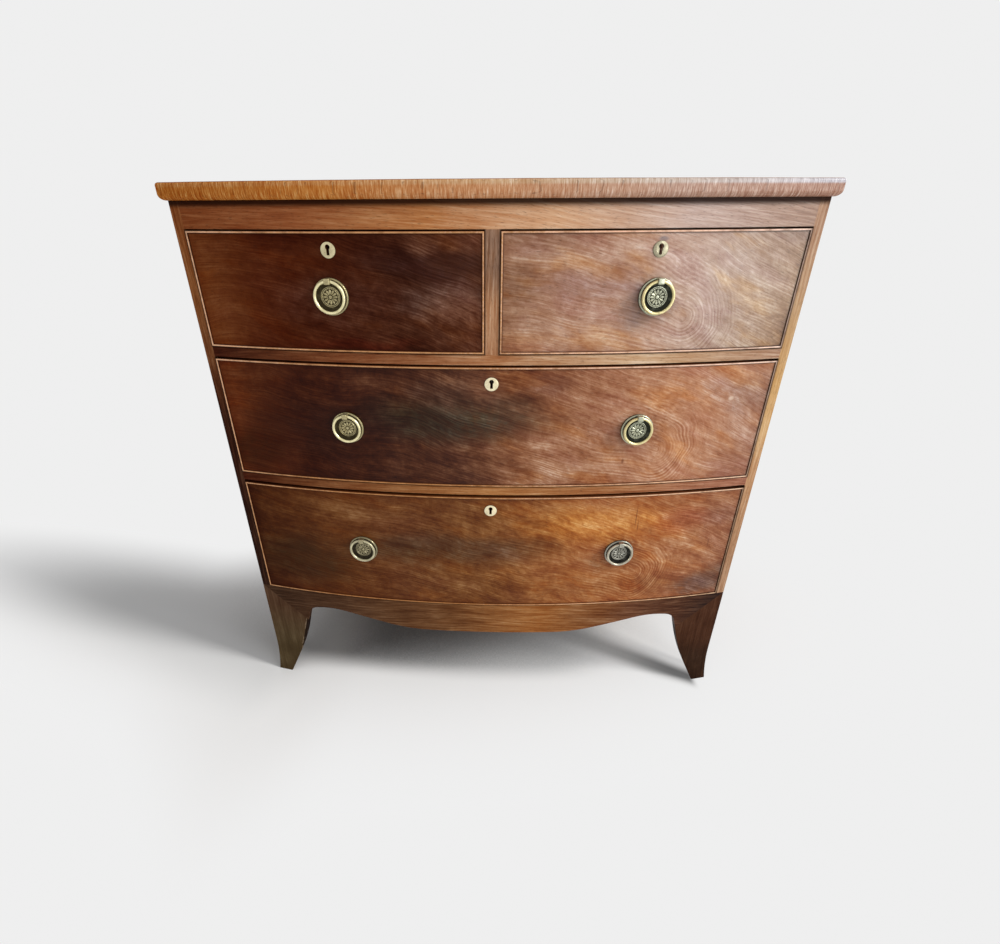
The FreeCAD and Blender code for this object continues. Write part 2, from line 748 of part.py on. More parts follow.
def make_cock_beads(name, x_low, x_high, bottom, top):
    """Four thin strips let into the edges of a drawer front, standing a little proud of it."""
    inner = size.bow_radius - size.bead_depth
    outer = size.bow_radius + size.bead_projection
    wide = size.bead_thickness
    strips = [
        band(f"{name}_bead", x_low, x_high, inner, outer, top - wide, top),
        band(f"{name}_bead", x_low, x_high, inner, outer, bottom, bottom + wide),
        band(f"{name}_bead", x_low, x_low + wide, inner, outer, bottom + wide, top - wide),
        band(f"{name}_bead", x_high - wide, x_high, inner, outer, bottom + wide, top - wide),
    ]
    keep(f"{name}_cock_beads", *strips)
    return strips


def make_lock(name, x, z, drop):
    """Half-mortised lock and its bolt; returns the room that the lock takes in the front."""
    near = size.front_thickness - size.lock_thickness
    far = size.front_thickness
    half_case = size.lock_half_width
    case_face = rectangle((-half_case, -size.lock_below_key), (half_case, drop))
    bolt_near = near + size.lock_cover
    bolt_far = bolt_near + size.bolt_thickness
    bolt_top = drop - size.bolt_set_back
    bolt_bottom = bolt_top - size.bolt_length
    slack = size.bolt_clearance

    case = prism(f"{name}_lock", "XZ_Plane", case_face, near, far)
    way = rectangle((-size.bolt_half_width - slack, bolt_bottom - slack),
                    (size.bolt_half_width + slack, drop + slack))
    extrude(case, "Pocket", "XZ_Plane", outline(case, "XZ_Plane", way), bolt_near - slack,
            bolt_far + slack)
    well = circle_sketch(case, "XZ_Plane", 0, 0, size.key_well_radius)
    extrude(case, "Pocket", "XZ_Plane", well, near - slack, bolt_far - slack)
    extrude(case, "Pocket", "XZ_Plane", outline(case, "XZ_Plane", key_slot(0)), near - slack,
            bolt_far - slack)
    pin = circle_sketch(case, "XZ_Plane", 0, 0, size.lock_pin_radius)
    extrude(case, "Pad", "XZ_Plane", pin, far - size.lock_pin_length, far - slack)
    keep(f"{name}_lock", seat(case, x, z))

    bolt = prism(f"{name}_lock_bolt", "XZ_Plane",
                 rectangle((-size.bolt_half_width, bolt_bottom), (size.bolt_half_width, bolt_top)),
                 bolt_near, bolt_far)
    keep(f"{name}_lock_bolt", seat(bolt, x, z))
    room = prism(f"{name}_lock_room", "XZ_Plane", case_face, near, far + size.lock_cover)
    return seat(room, x, z)


def bolt_mortise(name, x, z, rise):
    """Room for the lock bolt in the rail above; rise is from the keyhole to that rail."""
    slack = size.bolt_clearance
    near = size.front_thickness - size.lock_thickness + size.lock_cover - slack
    far = near + size.bolt_thickness + slack * 2
    mouth = rectangle((-size.bolt_half_width - slack, rise - size.bolt_set_back),
                      (size.bolt_half_width + slack, rise + size.mortise_depth))
    return seat(prism(f"{name}_mortise", "XZ_Plane", mouth, near, far), x, z)


def key_slot(rise):
    """The slot for the key's bit, below a round hole that is centred at this height."""
    half_slot = size.key_slot_width / 2
    return rectangle((-half_slot, rise - size.key_slot_drop), (half_slot, rise))


def keyhole_cutter(name, rise, near, far):
    """A round hole with a slot below it, right through from near to far."""
    body = new_body(name)
    circle = circle_sketch(body, "XZ_Plane", 0, rise, size.key_radius)
    extrude(body, "Pad", "XZ_Plane", circle, near, far)
    extrude(body, "Pad", "XZ_Plane", outline(body, "XZ_Plane", key_slot(rise)), near, far)
    return body


def make_escutcheon(name, x, z):
    """Domed round keyhole plate, its hole above its centre; returns the front's own keyhole."""
    dome = turned(f"{name}_escutcheon_blank", [
        (0, 0), (-size.escutcheon_dome, 0), (-size.escutcheon_dome, size.escutcheon_radius / 2),
        (-size.escutcheon_edge, size.escutcheon_radius), (0, size.escutcheon_radius),
    ])
    hole = keyhole_cutter(f"{name}_plate_keyhole", size.key_rise, -size.lock_cover, size.lock_cover)
    plate = boolean("Cut", f"{name}_escutcheon", dome, hole)
    keep(f"{name}_escutcheon", seat(plate, x, z - size.key_rise))
    through = keyhole_cutter(f"{name}_keyhole", 0, -size.lock_cover,
                             size.front_thickness - size.lock_thickness + size.lock_cover)
    return seat(through, x, z)


def make_pulls(name, pulls):
    """Ring pulls on one drawer; returns the studs that pass through its front."""
    plates = []
    fixings = []
    shanks = []
    for ring_name, x, z in pulls:
        plates.append(seat(pull_plate(f"{ring_name}_plate"), x, z))
        shank = turned(f"{ring_name}_stud", [
            (0, 0), (0, size.stud_radius), (size.stud_end, size.stud_radius), (size.stud_end, 0),
        ])
        shanks.append(seat(shank, x, z))
        fixings += [shank, seat(square_nut(f"{ring_name}_nut"), x, z)]
        ring = new_body(f"{ring_name}_ring")
        spin(ring, circle_sketch(ring, "YZ_Plane", -size.ring_standoff, size.ring_radius,
                                 size.ring_wire_radius))
        keep(f"{ring_name}_ring", seat(ring, x, z))
    keep(f"{name}_pull_plates", *plates)
    keep(f"{name}_pull_fixings", *fixings)
    return shanks


def pull_plate(name):
    """Dished round plate with a raised rosette, and the eye that its ring swings in."""
    rim_inside = size.plate_radius - size.rim_width
    body = turned(name, [
        (0, 0), (-size.boss_height, 0), (-size.boss_height, size.boss_radius),
        (-size.rosette_height, size.boss_foot_radius),
        (-size.rosette_height, size.rosette_radius - size.rosette_slope),
        (-size.dish_height, size.rosette_radius), (-size.dish_height, rim_inside),
        (-size.rim_height, rim_inside + size.rim_slope),
        (-size.rim_height, size.plate_radius - size.rim_slope),
        (-size.dish_height, size.plate_radius), (0, size.plate_radius),
    ])
    half = size.eye_half
    block = rectangle((-half, size.ring_radius - half), (half, size.ring_radius + half))
    extrude(body, "Pad", "XZ_Plane", outline(body, "XZ_Plane", block),
            -size.ring_standoff - half, -size.dish_height / 2)
    hole = circle_sketch(body, "YZ_Plane", -size.ring_standoff, size.ring_radius,
                         size.eye_hole_radius)
    extrude(body, "Pocket", "YZ_Plane", hole, -half * 2, half * 2)
    return body


def square_nut(name):
    """Nut on the stud, bearing on the inside of the drawer front."""
    near = size.front_thickness + size.nut_gap
    half = size.nut_width / 2
    body = prism(name, "XZ_Plane", rectangle((-half, -half), (half, half)), near,
                 near + size.nut_thickness)
    hole = circle_sketch(body, "XZ_Plane", 0, 0, size.stud_radius)
    extrude(body, "Pocket", "XZ_Plane", hole, near, near + size.nut_thickness)
    return body


def make_drawers():
    """All four drawers; returns each one's bolt mortise by the drawer's name."""
    outer = inner_half - size.front_side_gap
    inner = size.muntin_width / 2 + size.front_side_gap
    pull = size.pull_offset
    key = size.upper_keyhole_offset
    mortises = {}
    for side, sign in (("left", -1), ("right", 1)):
        name = f"upper_{side}"
        low, high = (-outer, -inner) if sign < 0 else (inner, outer)
        mortises[name] = make_drawer(
            name, low, high, upper_floor, upper_ceiling, size.upper_gap, key * sign,
            size.upper_escutcheon_drop, [(name, pull * sign, size.upper_pull_height)],
            SHORT_DRAWER_TAILS)
    long_drawers = (
        ("middle", middle_floor, middle_ceiling, size.middle_gap, size.middle_pull_height),
        ("lower", size.apron_top, lower_ceiling, size.lower_gap, size.lower_pull_height),
    )
    for name, floor, ceiling, gap, height in long_drawers:
        pulls = [(f"{name}_left", -pull, height), (f"{name}_right", pull, height)]
        mortises[name] = make_drawer(name, -outer, outer, floor, ceiling, gap, as_length(0),
                                     size.long_escutcheon_drop, pulls, LONG_DRAWER_TAILS)
    return mortises


def check_and_export():
    """Stops on any failed object, then writes one STEP file for each sub-part."""
    doc.recompute()
    failed = [item.Name for item in doc.Objects if "Invalid" in item.State or "Error" in item.State]
    failed += [part.Label for part in NODES if part.Shape.isNull() or not part.Shape.isValid()]
    if failed:
        raise RuntimeError(f"objects that failed: {failed}")
    os.makedirs("parts", exist_ok=True)
    for part in NODES:
        part.Shape.exportStep(f"parts/{part.Label}.step")
        print(part.Label, len(part.Shape.Solids), round(part.Shape.Volume))
    print(len(NODES), "nodes", Part.makeCompound([part.Shape for part in NODES]).BoundBox)


bolt_rooms = make_drawers()
make_top_board()
make_carcase_sides()
make_back_boards()
make_frieze_rail([bolt_rooms["upper_left"], bolt_rooms["upper_right"]])
make_drawer_rails(bolt_rooms["middle"], bolt_rooms["lower"])
make_division()
make_runners()
make_dustboards()
make_bottom_board()
make_drawer_stops()
make_base()
check_and_export()
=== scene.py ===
import math

import bmesh
import bpy
import numpy as np
from mathutils import Matrix, Vector


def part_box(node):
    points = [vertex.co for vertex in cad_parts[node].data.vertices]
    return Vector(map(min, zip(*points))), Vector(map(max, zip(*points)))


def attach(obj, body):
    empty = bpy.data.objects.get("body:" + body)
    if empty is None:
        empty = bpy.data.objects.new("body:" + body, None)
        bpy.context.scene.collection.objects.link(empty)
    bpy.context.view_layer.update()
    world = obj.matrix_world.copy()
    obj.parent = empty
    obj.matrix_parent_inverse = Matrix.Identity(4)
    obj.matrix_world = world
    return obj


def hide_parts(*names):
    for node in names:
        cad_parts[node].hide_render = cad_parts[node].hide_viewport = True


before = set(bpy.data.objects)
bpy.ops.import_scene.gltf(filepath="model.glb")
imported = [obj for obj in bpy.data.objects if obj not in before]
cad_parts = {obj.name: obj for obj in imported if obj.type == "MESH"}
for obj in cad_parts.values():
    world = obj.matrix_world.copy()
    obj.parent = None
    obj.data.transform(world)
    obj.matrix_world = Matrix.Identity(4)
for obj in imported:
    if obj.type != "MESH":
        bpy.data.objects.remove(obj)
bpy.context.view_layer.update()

# Driving sizes, in metres. Everything else is worked out from these and from the frame.
BOW_RADIUS = 2.116
FRONT_Y = -0.2455
BOW_CENTRE_Y = FRONT_Y + BOW_RADIUS
CASE_HALF = 0.45
SIDE_FRONT_Y = BOW_CENTRE_Y - math.sqrt(BOW_RADIUS ** 2 - CASE_HALF ** 2)
MM = 0.001
TURN = 2 * math.pi

PULL_X = 0.2275
PLATE_RADIUS = 25.5 * MM
DISH_HEIGHT = 1.4 * MM
RIM_HEIGHT = 3.5 * MM
RIM_WIDTH = 2.7 * MM
ROSETTE_RADIUS = 14.3 * MM
ROSETTE_HEIGHT = 4.4 * MM
PETAL_PAIRS = 6
BAND_BEADS = 24
BOSS_RADIUS = 2.6 * MM
BOSS_HEIGHT = 5.0 * MM
RING_RADIUS = 21.4 * MM
RING_STANDOFF = 8.0 * MM
EYE_HALF = 4.2 * MM
EYE_BORE = 2.9 * MM
EYE_SOFT = 0.7 * MM

ESCUTCHEON_RADIUS = 10.5 * MM
ESCUTCHEON_EDGE = 0.9 * MM
ESCUTCHEON_DOME = 1.6 * MM
ESCUTCHEON_ROUND = 0.15 * MM
KEY_RADIUS = 3.3 * MM
KEY_RISE = 3.9 * MM
SLOT_HALF = 2.0 * MM
SLOT_FOOT = -6.4 * MM
KEY_HUB = KEY_RISE - 0.9 * MM

BEAD_WIDTH = 3.0 * MM
BEAD_PROUD = 1.8 * MM
BEAD_DEPTH = 6.0 * MM
BEAD_STEP = 4.0 * MM
BEAD_SAG = 0.10 * MM
BEAD_WEAR = 0.12 * MM

TOP_OVERHANG = 9.5 * MM
TOP_LOWER_ROUND = 8.0 * MM
TOP_UPPER_ROUND = 4.0 * MM
TOP_WEAR = 0.12 * MM

WOBBLE_PITCHES = (0.9, 0.37, 0.16, 0.07)
DRAWERS = ("upper_left", "upper_right", "middle", "lower")


# ---- meshes

def grid_faces(rows, columns, rows_close=False, columns_close=False):
    """Quads of a grid of points numbered row by row: (i, j), (i, j+1), (i+1, j+1), (i+1, j)."""
    i = np.arange(rows if rows_close else rows - 1)[:, None]
    j = np.arange(columns if columns_close else columns - 1)[None, :]
    below = (i + 1) % rows
    right = (j + 1) % columns
    quads = (i * columns + j, i * columns + right, below * columns + right, below * columns + j)
    return np.stack([np.broadcast_to(q, (i.size, j.size)).ravel() for q in quads], axis=1)


def smooth(mesh):
    """Shades every face of a mesh smooth."""
    mesh.polygons.foreach_set("use_smooth", np.ones(len(mesh.polygons), dtype=bool))


def build_mesh(name, sheets, sharp=35.0, relief=()):
    """One mesh from several grids, each (points[rows, columns, 3], rows_close, columns_close).

    Coinciding points are merged, so seams and poles close, and normals are turned outwards. Edges
    sharper than an angle in degrees stay sharp. Relief is a value for each point, one array a grid.
    """
    points = np.concatenate([sheet[0].reshape(-1, 3) for sheet in sheets])
    starts = np.cumsum([0] + [sheet[0].shape[0] * sheet[0].shape[1] for sheet in sheets[:-1]])
    faces = np.concatenate([
        grid_faces(sheet[0].shape[0], sheet[0].shape[1], sheet[1], sheet[2]) + start
        for sheet, start in zip(sheets, starts)
    ])
    mesh = bpy.data.meshes.new(name)
    mesh.from_pydata(points.tolist(), [], faces.tolist())
    if relief:
        layer = mesh.attributes.new("relief", "FLOAT", "POINT")
        layer.data.foreach_set("value", np.concatenate([r.ravel() for r in relief]).astype(np.float32))
    work = bmesh.new()
    work.from_mesh(mesh)
    bmesh.ops.remove_doubles(work, verts=work.verts, dist=1e-6)
    bmesh.ops.recalc_face_normals(work, faces=work.faces)
    work.to_mesh(mesh)
    work.free()
    smooth(mesh)
    mesh.set_sharp_from_angle(angle=math.radians(sharp))
    return mesh


def put(name, data):
    """A new object of the scene."""
    item = bpy.data.objects.new(name, data)
    bpy.context.scene.collection.objects.link(item)
    return item


def add_piece(name, mesh, body, finish, node):
    """Adds a finished piece at the origin, riding on its body and standing for a CAD node."""
    mesh.materials.append(finish)
    piece = put(name, mesh)
    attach(piece, body)
    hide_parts(node)


def bow_y(x, radius):
    """Depth of a bow of some radius at x: y = centre - sqrt(radius^2 - x^2)."""
    return BOW_CENTRE_Y - np.sqrt(radius * radius - x * x)


def on_bow(x, z, across, up, out):
    """Points given beside a spot (x, z) of the bow: along its tangent, upwards and outwards.

    P = (R sin f, yc - R cos f, z) + across (cos f, sin f, 0) + up (0, 0, 1) + out (sin f, -cos f, 0)
    with sin f = x / R.
    """
    sine = x / BOW_RADIUS
    cosine = math.sqrt(1 - sine * sine)
    reach = BOW_RADIUS + out
    return np.stack([
        reach * sine + across * cosine,
        BOW_CENTRE_Y - reach * cosine + across * sine,
        z + up + 0 * across,
    ], axis=-1)


def wobble(s, seed, size):
    """Slow unevenness along a length s: a sum of sines of falling pitch, each size/(n+1)."""
    total = 0 * s
    for n, pitch in enumerate(WOBBLE_PITCHES):
        total = total + np.sin(TURN * s / pitch + seed * (n + 1.7)) * size / (n + 1)
    return total


def front_box(drawer):
    """x and z limits of a drawer front, read from the frame."""
    low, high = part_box(f"{drawer}_front")
    return low.x, high.x, low.z, high.z


# ---- shader writing

def value_first(operation):
    """A method that adds one Math node on a wire and another value."""
    return lambda self, other: self.math(operation, self, other)


def value_second(operation):
    """Its reflected form."""
    return lambda self, other: self.math(operation, other, self)


class Wire:
    """One output of a material's nodes; arithmetic on it adds the Math nodes it needs."""

    __add__, __radd__ = value_first("ADD"), value_second("ADD")
    __sub__, __rsub__ = value_first("SUBTRACT"), value_second("SUBTRACT")
    __mul__, __rmul__ = value_first("MULTIPLY"), value_second("MULTIPLY")
    __truediv__ = value_first("DIVIDE")
    __pow__ = value_first("POWER")
    below = value_first("MINIMUM")
    above = value_first("MAXIMUM")

    def __init__(self, graph, socket):
        self.graph = graph
        self.socket = socket

    def math(self, operation, *values, clamp=False):
        """A Math node on the values given."""
        settings = {"operation": operation, "use_clamp": clamp}
        return self.graph.add("ShaderNodeMath", settings, dict(enumerate(values)))

    def clip(self):
        """The value kept between 0 and 1."""
        return self.math("ADD", self, 0.0, clamp=True)

    def size(self):
        return self.math("ABSOLUTE", self)

    def sine(self):
        return self.math("SINE", self)

    def hypot(self, other):
        return (self * self + other * other) ** 0.5

    def rise(self, low, high, bottom=0.0, top=1.0):
        """Smooth step from bottom to top as the value goes from low to high."""
        return self.graph.add(
            "ShaderNodeMapRange", {"interpolation_type": "SMOOTHSTEP"},
            {"Value": self, "From Min": low, "From Max": high, "To Min": bottom, "To Max": top})

    def fall(self, low, high):
        """Smooth step from 1 to 0 as the value goes from low to high."""
        return self.rise(low, high, 1.0, 0.0)


class Graph:
    """Nodes of one material or world."""

    def __init__(self, tree):
        self.tree = tree
        tree.nodes.clear()

    def add(self, kind, settings, sockets, output=0):
        """Adds a node: its settings first, then the values or links of its sockets."""
        node = self.tree.nodes.new(kind)
        stops = settings.pop("stops", None)
        for key, value in settings.items():
            setattr(node, key, value)
        if stops:
            while len(node.color_ramp.elements) < len(stops):
                node.color_ramp.elements.new(1.0)
            for element, (position, colour) in zip(node.color_ramp.elements, stops):
                element.position = position
                element.color = (*colour, 1.0)
        for key, value in sockets.items():
            if isinstance(value, Wire):
                self.tree.links.new(value.socket, node.inputs[key])
            elif isinstance(value, tuple) and len(value) == 3 and node.inputs[key].type == "RGBA":
                node.inputs[key].default_value = (*value, 1.0)
            else:
                node.inputs[key].default_value = value
        if output is None:
            return node
        return Wire(self, node.outputs[output])

    def seen(self):
        """1 where the camera, or metal or glass in view, looks at the surface; 0 for its light."""
        path = self.add("ShaderNodeLightPath", {}, {}, None)
        camera, glossy, through = (
            Wire(self, path.outputs[f"Is {kind} Ray"]) for kind in ("Camera", "Glossy", "Transmission"))
        return camera.above(glossy).above(through)


class Finish(Graph):
    """A material under construction. Tones in lists are sRGB triples from 0 to 255."""

    def __init__(self, name):
        self.material = bpy.data.materials.new(name)
        self.material.use_nodes = True
        super().__init__(self.material.node_tree)
        self.place = self.add("ShaderNodeTexCoord", {}, {}, "Object")
        split = self.add("ShaderNodeSeparateXYZ", {}, {0: self.place}, None)
        self.x, self.y, self.z = (Wire(self, split.outputs[n]) for n in range(3))

    def axes(self, grain):
        """Coordinates named by letters, such as along, across and into the grain."""
        return (getattr(self, axis) for axis in grain)

    def point(self, where):
        """A place as it is, or three values made into one."""
        if isinstance(where, tuple):
            return self.add("ShaderNodeCombineXYZ", {}, dict(enumerate(where)))
        return where

    def noise(self, where, scale=1.0, detail=3.0, roughness=0.5):
        """Cloudy noise about 0.5."""
        kind = {"Scale": scale, "Detail": detail, "Roughness": roughness}
        return self.add("ShaderNodeTexNoise", {}, {"Vector": self.point(where), **kind})

    def cloud(self, where, *kind):
        """The same noise about 0."""
        return self.noise(where, *kind) - 0.5

    def cells(self, where, scale=1.0):
        """Distance from the nearest of many scattered points."""
        sockets = {"Vector": self.point(where), "Scale": scale}
        return self.add("ShaderNodeTexVoronoi", {}, sockets, "Distance")

    def ramp(self, value, *stops):
        """Colour ramp; each stop is a position and a tone."""
        stops = [(position, srgb(*tone)) for position, tone in stops]
        return self.add("ShaderNodeValToRGB", {"stops": stops}, {0: value})

    def spread(self, value, tones):
        """Colour ramp with its tones at even distances."""
        last = len(tones) - 1
        return self.ramp(value, *((n / last, tone) for n, tone in enumerate(tones)))

    def mix(self, first, second, share, blend="MIX"):
        """Colour mix: first where share is 0 and second where it is 1."""
        return self.add("ShaderNodeMix", {"data_type": "RGBA", "blend_type": blend},
                        {0: share, 6: first, 7: second}, 2)

    def deepen(self, colour, lighter):
        """Wood a little lighter or darker: colour ** (1 - lighter), so dark wood is also redder."""
        return self.add("ShaderNodeGamma", {}, {"Color": colour, "Gamma": 1.0 - lighter})

    def attribute(self, name):
        return self.add("ShaderNodeAttribute", {"attribute_name": name}, {}, "Fac")

    def behind_bow(self):
        """Distance behind the bowed plane of the front."""
        return BOW_RADIUS - self.x.hypot(self.y - BOW_CENTRE_Y)

    def spot(self, x, z, middle_x, middle_z, half_width, half_height, depth):
        """A soft oval: its depth at the middle, falling to 0 at its edge."""
        across = (x - middle_x) * (1 / half_width)
        up = (z - middle_z) * (1 / half_height)
        return across.hypot(up).fall(0.25, 1.0) * depth

    def patches(self, colour, x, z, patches, ragged):
        """Lays soft ovals over a colour; each row holds the oval's numbers and its tone."""
        for *oval, tone in patches:
            patch = self.spot(x, z, *oval)
            colour = self.mix(colour, srgb(*tone), (patch + patch * ragged).clip())
        return colour

    def bump(self, height, distance, strength=0.5):
        sockets = {"Height": height, "Distance": distance, "Strength": strength}
        return self.add("ShaderNodeBump", {}, sockets)

    def surface(self, colour, **sockets):
        """Ends the material in one Principled surface."""
        named = {key.replace("_", " "): value for key, value in sockets.items()}
        shader = self.add("ShaderNodeBsdfPrincipled", {}, {"Base Color": colour, **named})
        self.add("ShaderNodeOutputMaterial", {}, {"Surface": shader}, None)
        return self.material


def srgb(red, green, blue):
    """Linear colour of an sRGB triple given from 0 to 255."""
    share = np.array([red, green, blue]) / 255
    linear = np.where(share <= 0.04045, share / 12.92, ((share + 0.055) / 1.055) ** 2.4)
    return tuple(float(value) for value in linear)


# ---- mahogany

POLISH = {"Coat_Roughness": 0.22, "Specular_IOR_Level": 0.02}
DULL = 0.25
RING_PITCH = 5.2 * MM
LINE_PITCH = 4.3 * MM
WARM = (1.12, 1, 0.72)
COOL = (0.95, 0.9, 0.97)


def grain_fields(f, along, across, seed, stretch=14):
    """Streaks, fibres and pores that run along the grain; the first two lie about 0."""
    across = across * stretch
    streak = f.cloud((along * 5, across * 5, seed), 1, 4, 0.65)
    fibre = f.cloud((along * 16, across * 22, seed + 3), 1, 3, 0.7)
    pore = f.noise((along * 110, across * 90, seed + 6), 1, 1)
    return streak, fibre, pore.rise(0.62, 0.72)


def towards_light(f):
    """0 at the left end of the chest and 1 at the right end, the side the light comes from. Most wood
    tones laid along it carry painted light: darker at the left, lit and sheened at the right.
    """
    return (f.x + CASE_HALF) * (1 / (2 * CASE_HALF))


def outline_reach(f, drawer):
    """Distance outside the outline of a drawer front; negative inside it."""
    x_low, x_high, z_low, z_high = front_box(drawer)
    out_x = (f.x - (x_low + x_high) / 2).size() - (x_high - x_low) / 2
    out_z = (f.z - (z_low + z_high) / 2).size() - (z_high - z_low) / 2
    return out_x.above(out_z)


def case_painted_shade(f):
    """Painted shade on the case beside each drawer opening and painted shadow under the top's overhang,
    both made uneven by noise.
    """
    reach = outline_reach(f, DRAWERS[0])
    for drawer in DRAWERS[1:]:
        reach = reach.below(outline_reach(f, drawer))
    low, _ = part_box("top_board")
    uneven = f.noise(f.place, 40, 3) * 0.6 + 0.7
    # painted shade in a narrow band beside each opening, and painted shadow under the top
    line = reach.fall(0.9 * MM, 3.2 * MM) * 0.7
    under = f.z.rise(low.z - 12 * MM, low.z - 3.5 * MM) * 0.95
    return (line * uneven).above(under).clip()


def wood_surface(f, colour, pore, fibre, gloss):
    """French polish over open grain: the pores are dull and sunken, the rest takes a soft shine."""
    smudge = f.noise(f.place, 9, 3, 0.6)
    coat = (gloss * smudge.rise(0.3, 0.7, 0.7, 1)).clip()
    dull = 0.42 + pore * 0.2 + (0.5 - smudge) * 0.2
    height = fibre * 0.5 - pore * 0.8 + smudge * 0.6
    return f.surface(colour, Roughness=dull.clip(), Coat_Weight=coat,
                     Normal=f.bump(height, 0.6 * MM), **POLISH)


def case_surface(f, colour, pore, fibre, gloss):
    """Surface of the case's own wood, with dark pores and with painted shade beside the drawer openings
    and under the top's overhang.
    """
    grime_and_shade = case_painted_shade(f)
    colour = f.mix(colour, srgb(38, 16, 8), pore * 0.5)
    # painted shade: darker wood and less polish shine where the mask is set
    colour = f.mix(colour, srgb(32, 11, 4), grime_and_shade)
    return wood_surface(f, colour, pore, fibre, gloss * (1 - grime_and_shade))


def plain_mahogany(name, grain, tones, seed, gloss=0.3, contrast=1, cloudy=1, slant=0,
                   upper_tones=None, returns=None, smoke=()):
    """Straight-grained mahogany whose tones run from the left end of the chest to the right end, darker
    at the left and lighter at the right as painted light.

    Grain names the coordinates along, across and into the wood, and the grain sinks to the right by
    the slant. Cloudy is the share of broad variation. Upper_tones take over above the middle drawer.
    Returns is the tone of parts that run back along the sides. Smoke is a list of soft dark patches.
    """
    f = Finish(name)
    along, across, deep = f.axes(grain)
    if returns:
        turned = (f.x.size().rise(CASE_HALF - 30 * MM, CASE_HALF - 26 * MM)
                  * f.y.rise(SIDE_FRONT_Y + 25 * MM, SIDE_FRONT_Y + 30 * MM))
        along = along + (f.y - along) * turned
        deep = deep * (1 - turned)
    across = across + along * slant + deep * 0.35 + f.cloud(f.place, 3, 2) * 0.03
    streak, fibre, pore = grain_fields(f, along, across, seed)
    cloud = f.cloud(f.place, 6, 4, 0.6)
    blotch = f.cloud((along * 16, across * 60, seed + 9), 1, 3, 0.6)
    shift = towards_light(f)
    share = shift + cloud * 0.12 + blotch * 0.08
    colour = f.spread(share, tones)
    if upper_tones:
        colour = f.mix(colour, f.spread(share, upper_tones), f.z.rise(0.52, 0.6))
    if returns:
        colour = f.mix(colour, srgb(*returns), turned)
    colour = f.patches(colour, f.x + cloud * 0.08, f.z + cloud * 0.04, smoke, blotch * 1.5)
    light = (cloud * 0.4 + blotch * 0.5 + streak * 0.8) * cloudy + fibre * 1.7
    colour = f.deepen(colour, light * shift.rise(0, 0.8, 0.6, 1) * contrast)
    return case_surface(f, colour, pore, fibre, shift * gloss)


def post_mahogany():
    """Side panels, seen edge-on as posts: dark at the lower left with painted shade, pale at the upper
    right with painted light and sheen.
    """
    f = Finish("side_mahogany")
    streak, fibre, pore = grain_fields(f, f.z, f.x + f.y * 0.35, 13)
    cloud = f.cloud(f.place, 9, 4, 0.6)
    level = f.z + cloud * 0.1
    left = f.ramp(
        level, (0.28, (42, 18, 7)), (0.42, (46, 20, 9)), (0.6, (57, 25, 12)), (0.65, (74, 36, 17)),
        (0.7, (112, 66, 37)), (0.79, (136, 84, 46)), (0.88, (130, 74, 38)))
    right = f.ramp(
        level, (0.3, (156, 118, 88)), (0.51, (168, 124, 86)), (0.58, (192, 154, 108)),
        (0.64, (186, 146, 96)), (0.73, (178, 144, 105)), (0.86, (154, 116, 88)))
    shift = towards_light(f)
    # The side panels' tone, darker on the left side than on the right, is painted shade and light.
    panel = f.mix(srgb(90, 48, 26), srgb(138, 90, 58), shift)
    colour = f.mix(left, right, shift)
    colour = f.mix(colour, panel, f.y.rise(SIDE_FRONT_Y, SIDE_FRONT_Y + 40 * MM) * 0.85)
    colour = f.deepen(colour, cloud * 0.3 + streak * 0.7 + fibre * 1.3)
    return case_surface(f, colour, pore, fibre, shift * 0.35)


def curled_grain(f, along, across, seed):
    """Streaks and fibres of figured wood, about 0."""
    streak = f.cloud((along * 4, across * 110, seed), 1, 4, 0.65)
    fibre = f.cloud((along * 12, across * 380, seed + 40), 1, 3, 0.75)
    return streak * 0.45 + fibre * 1.15


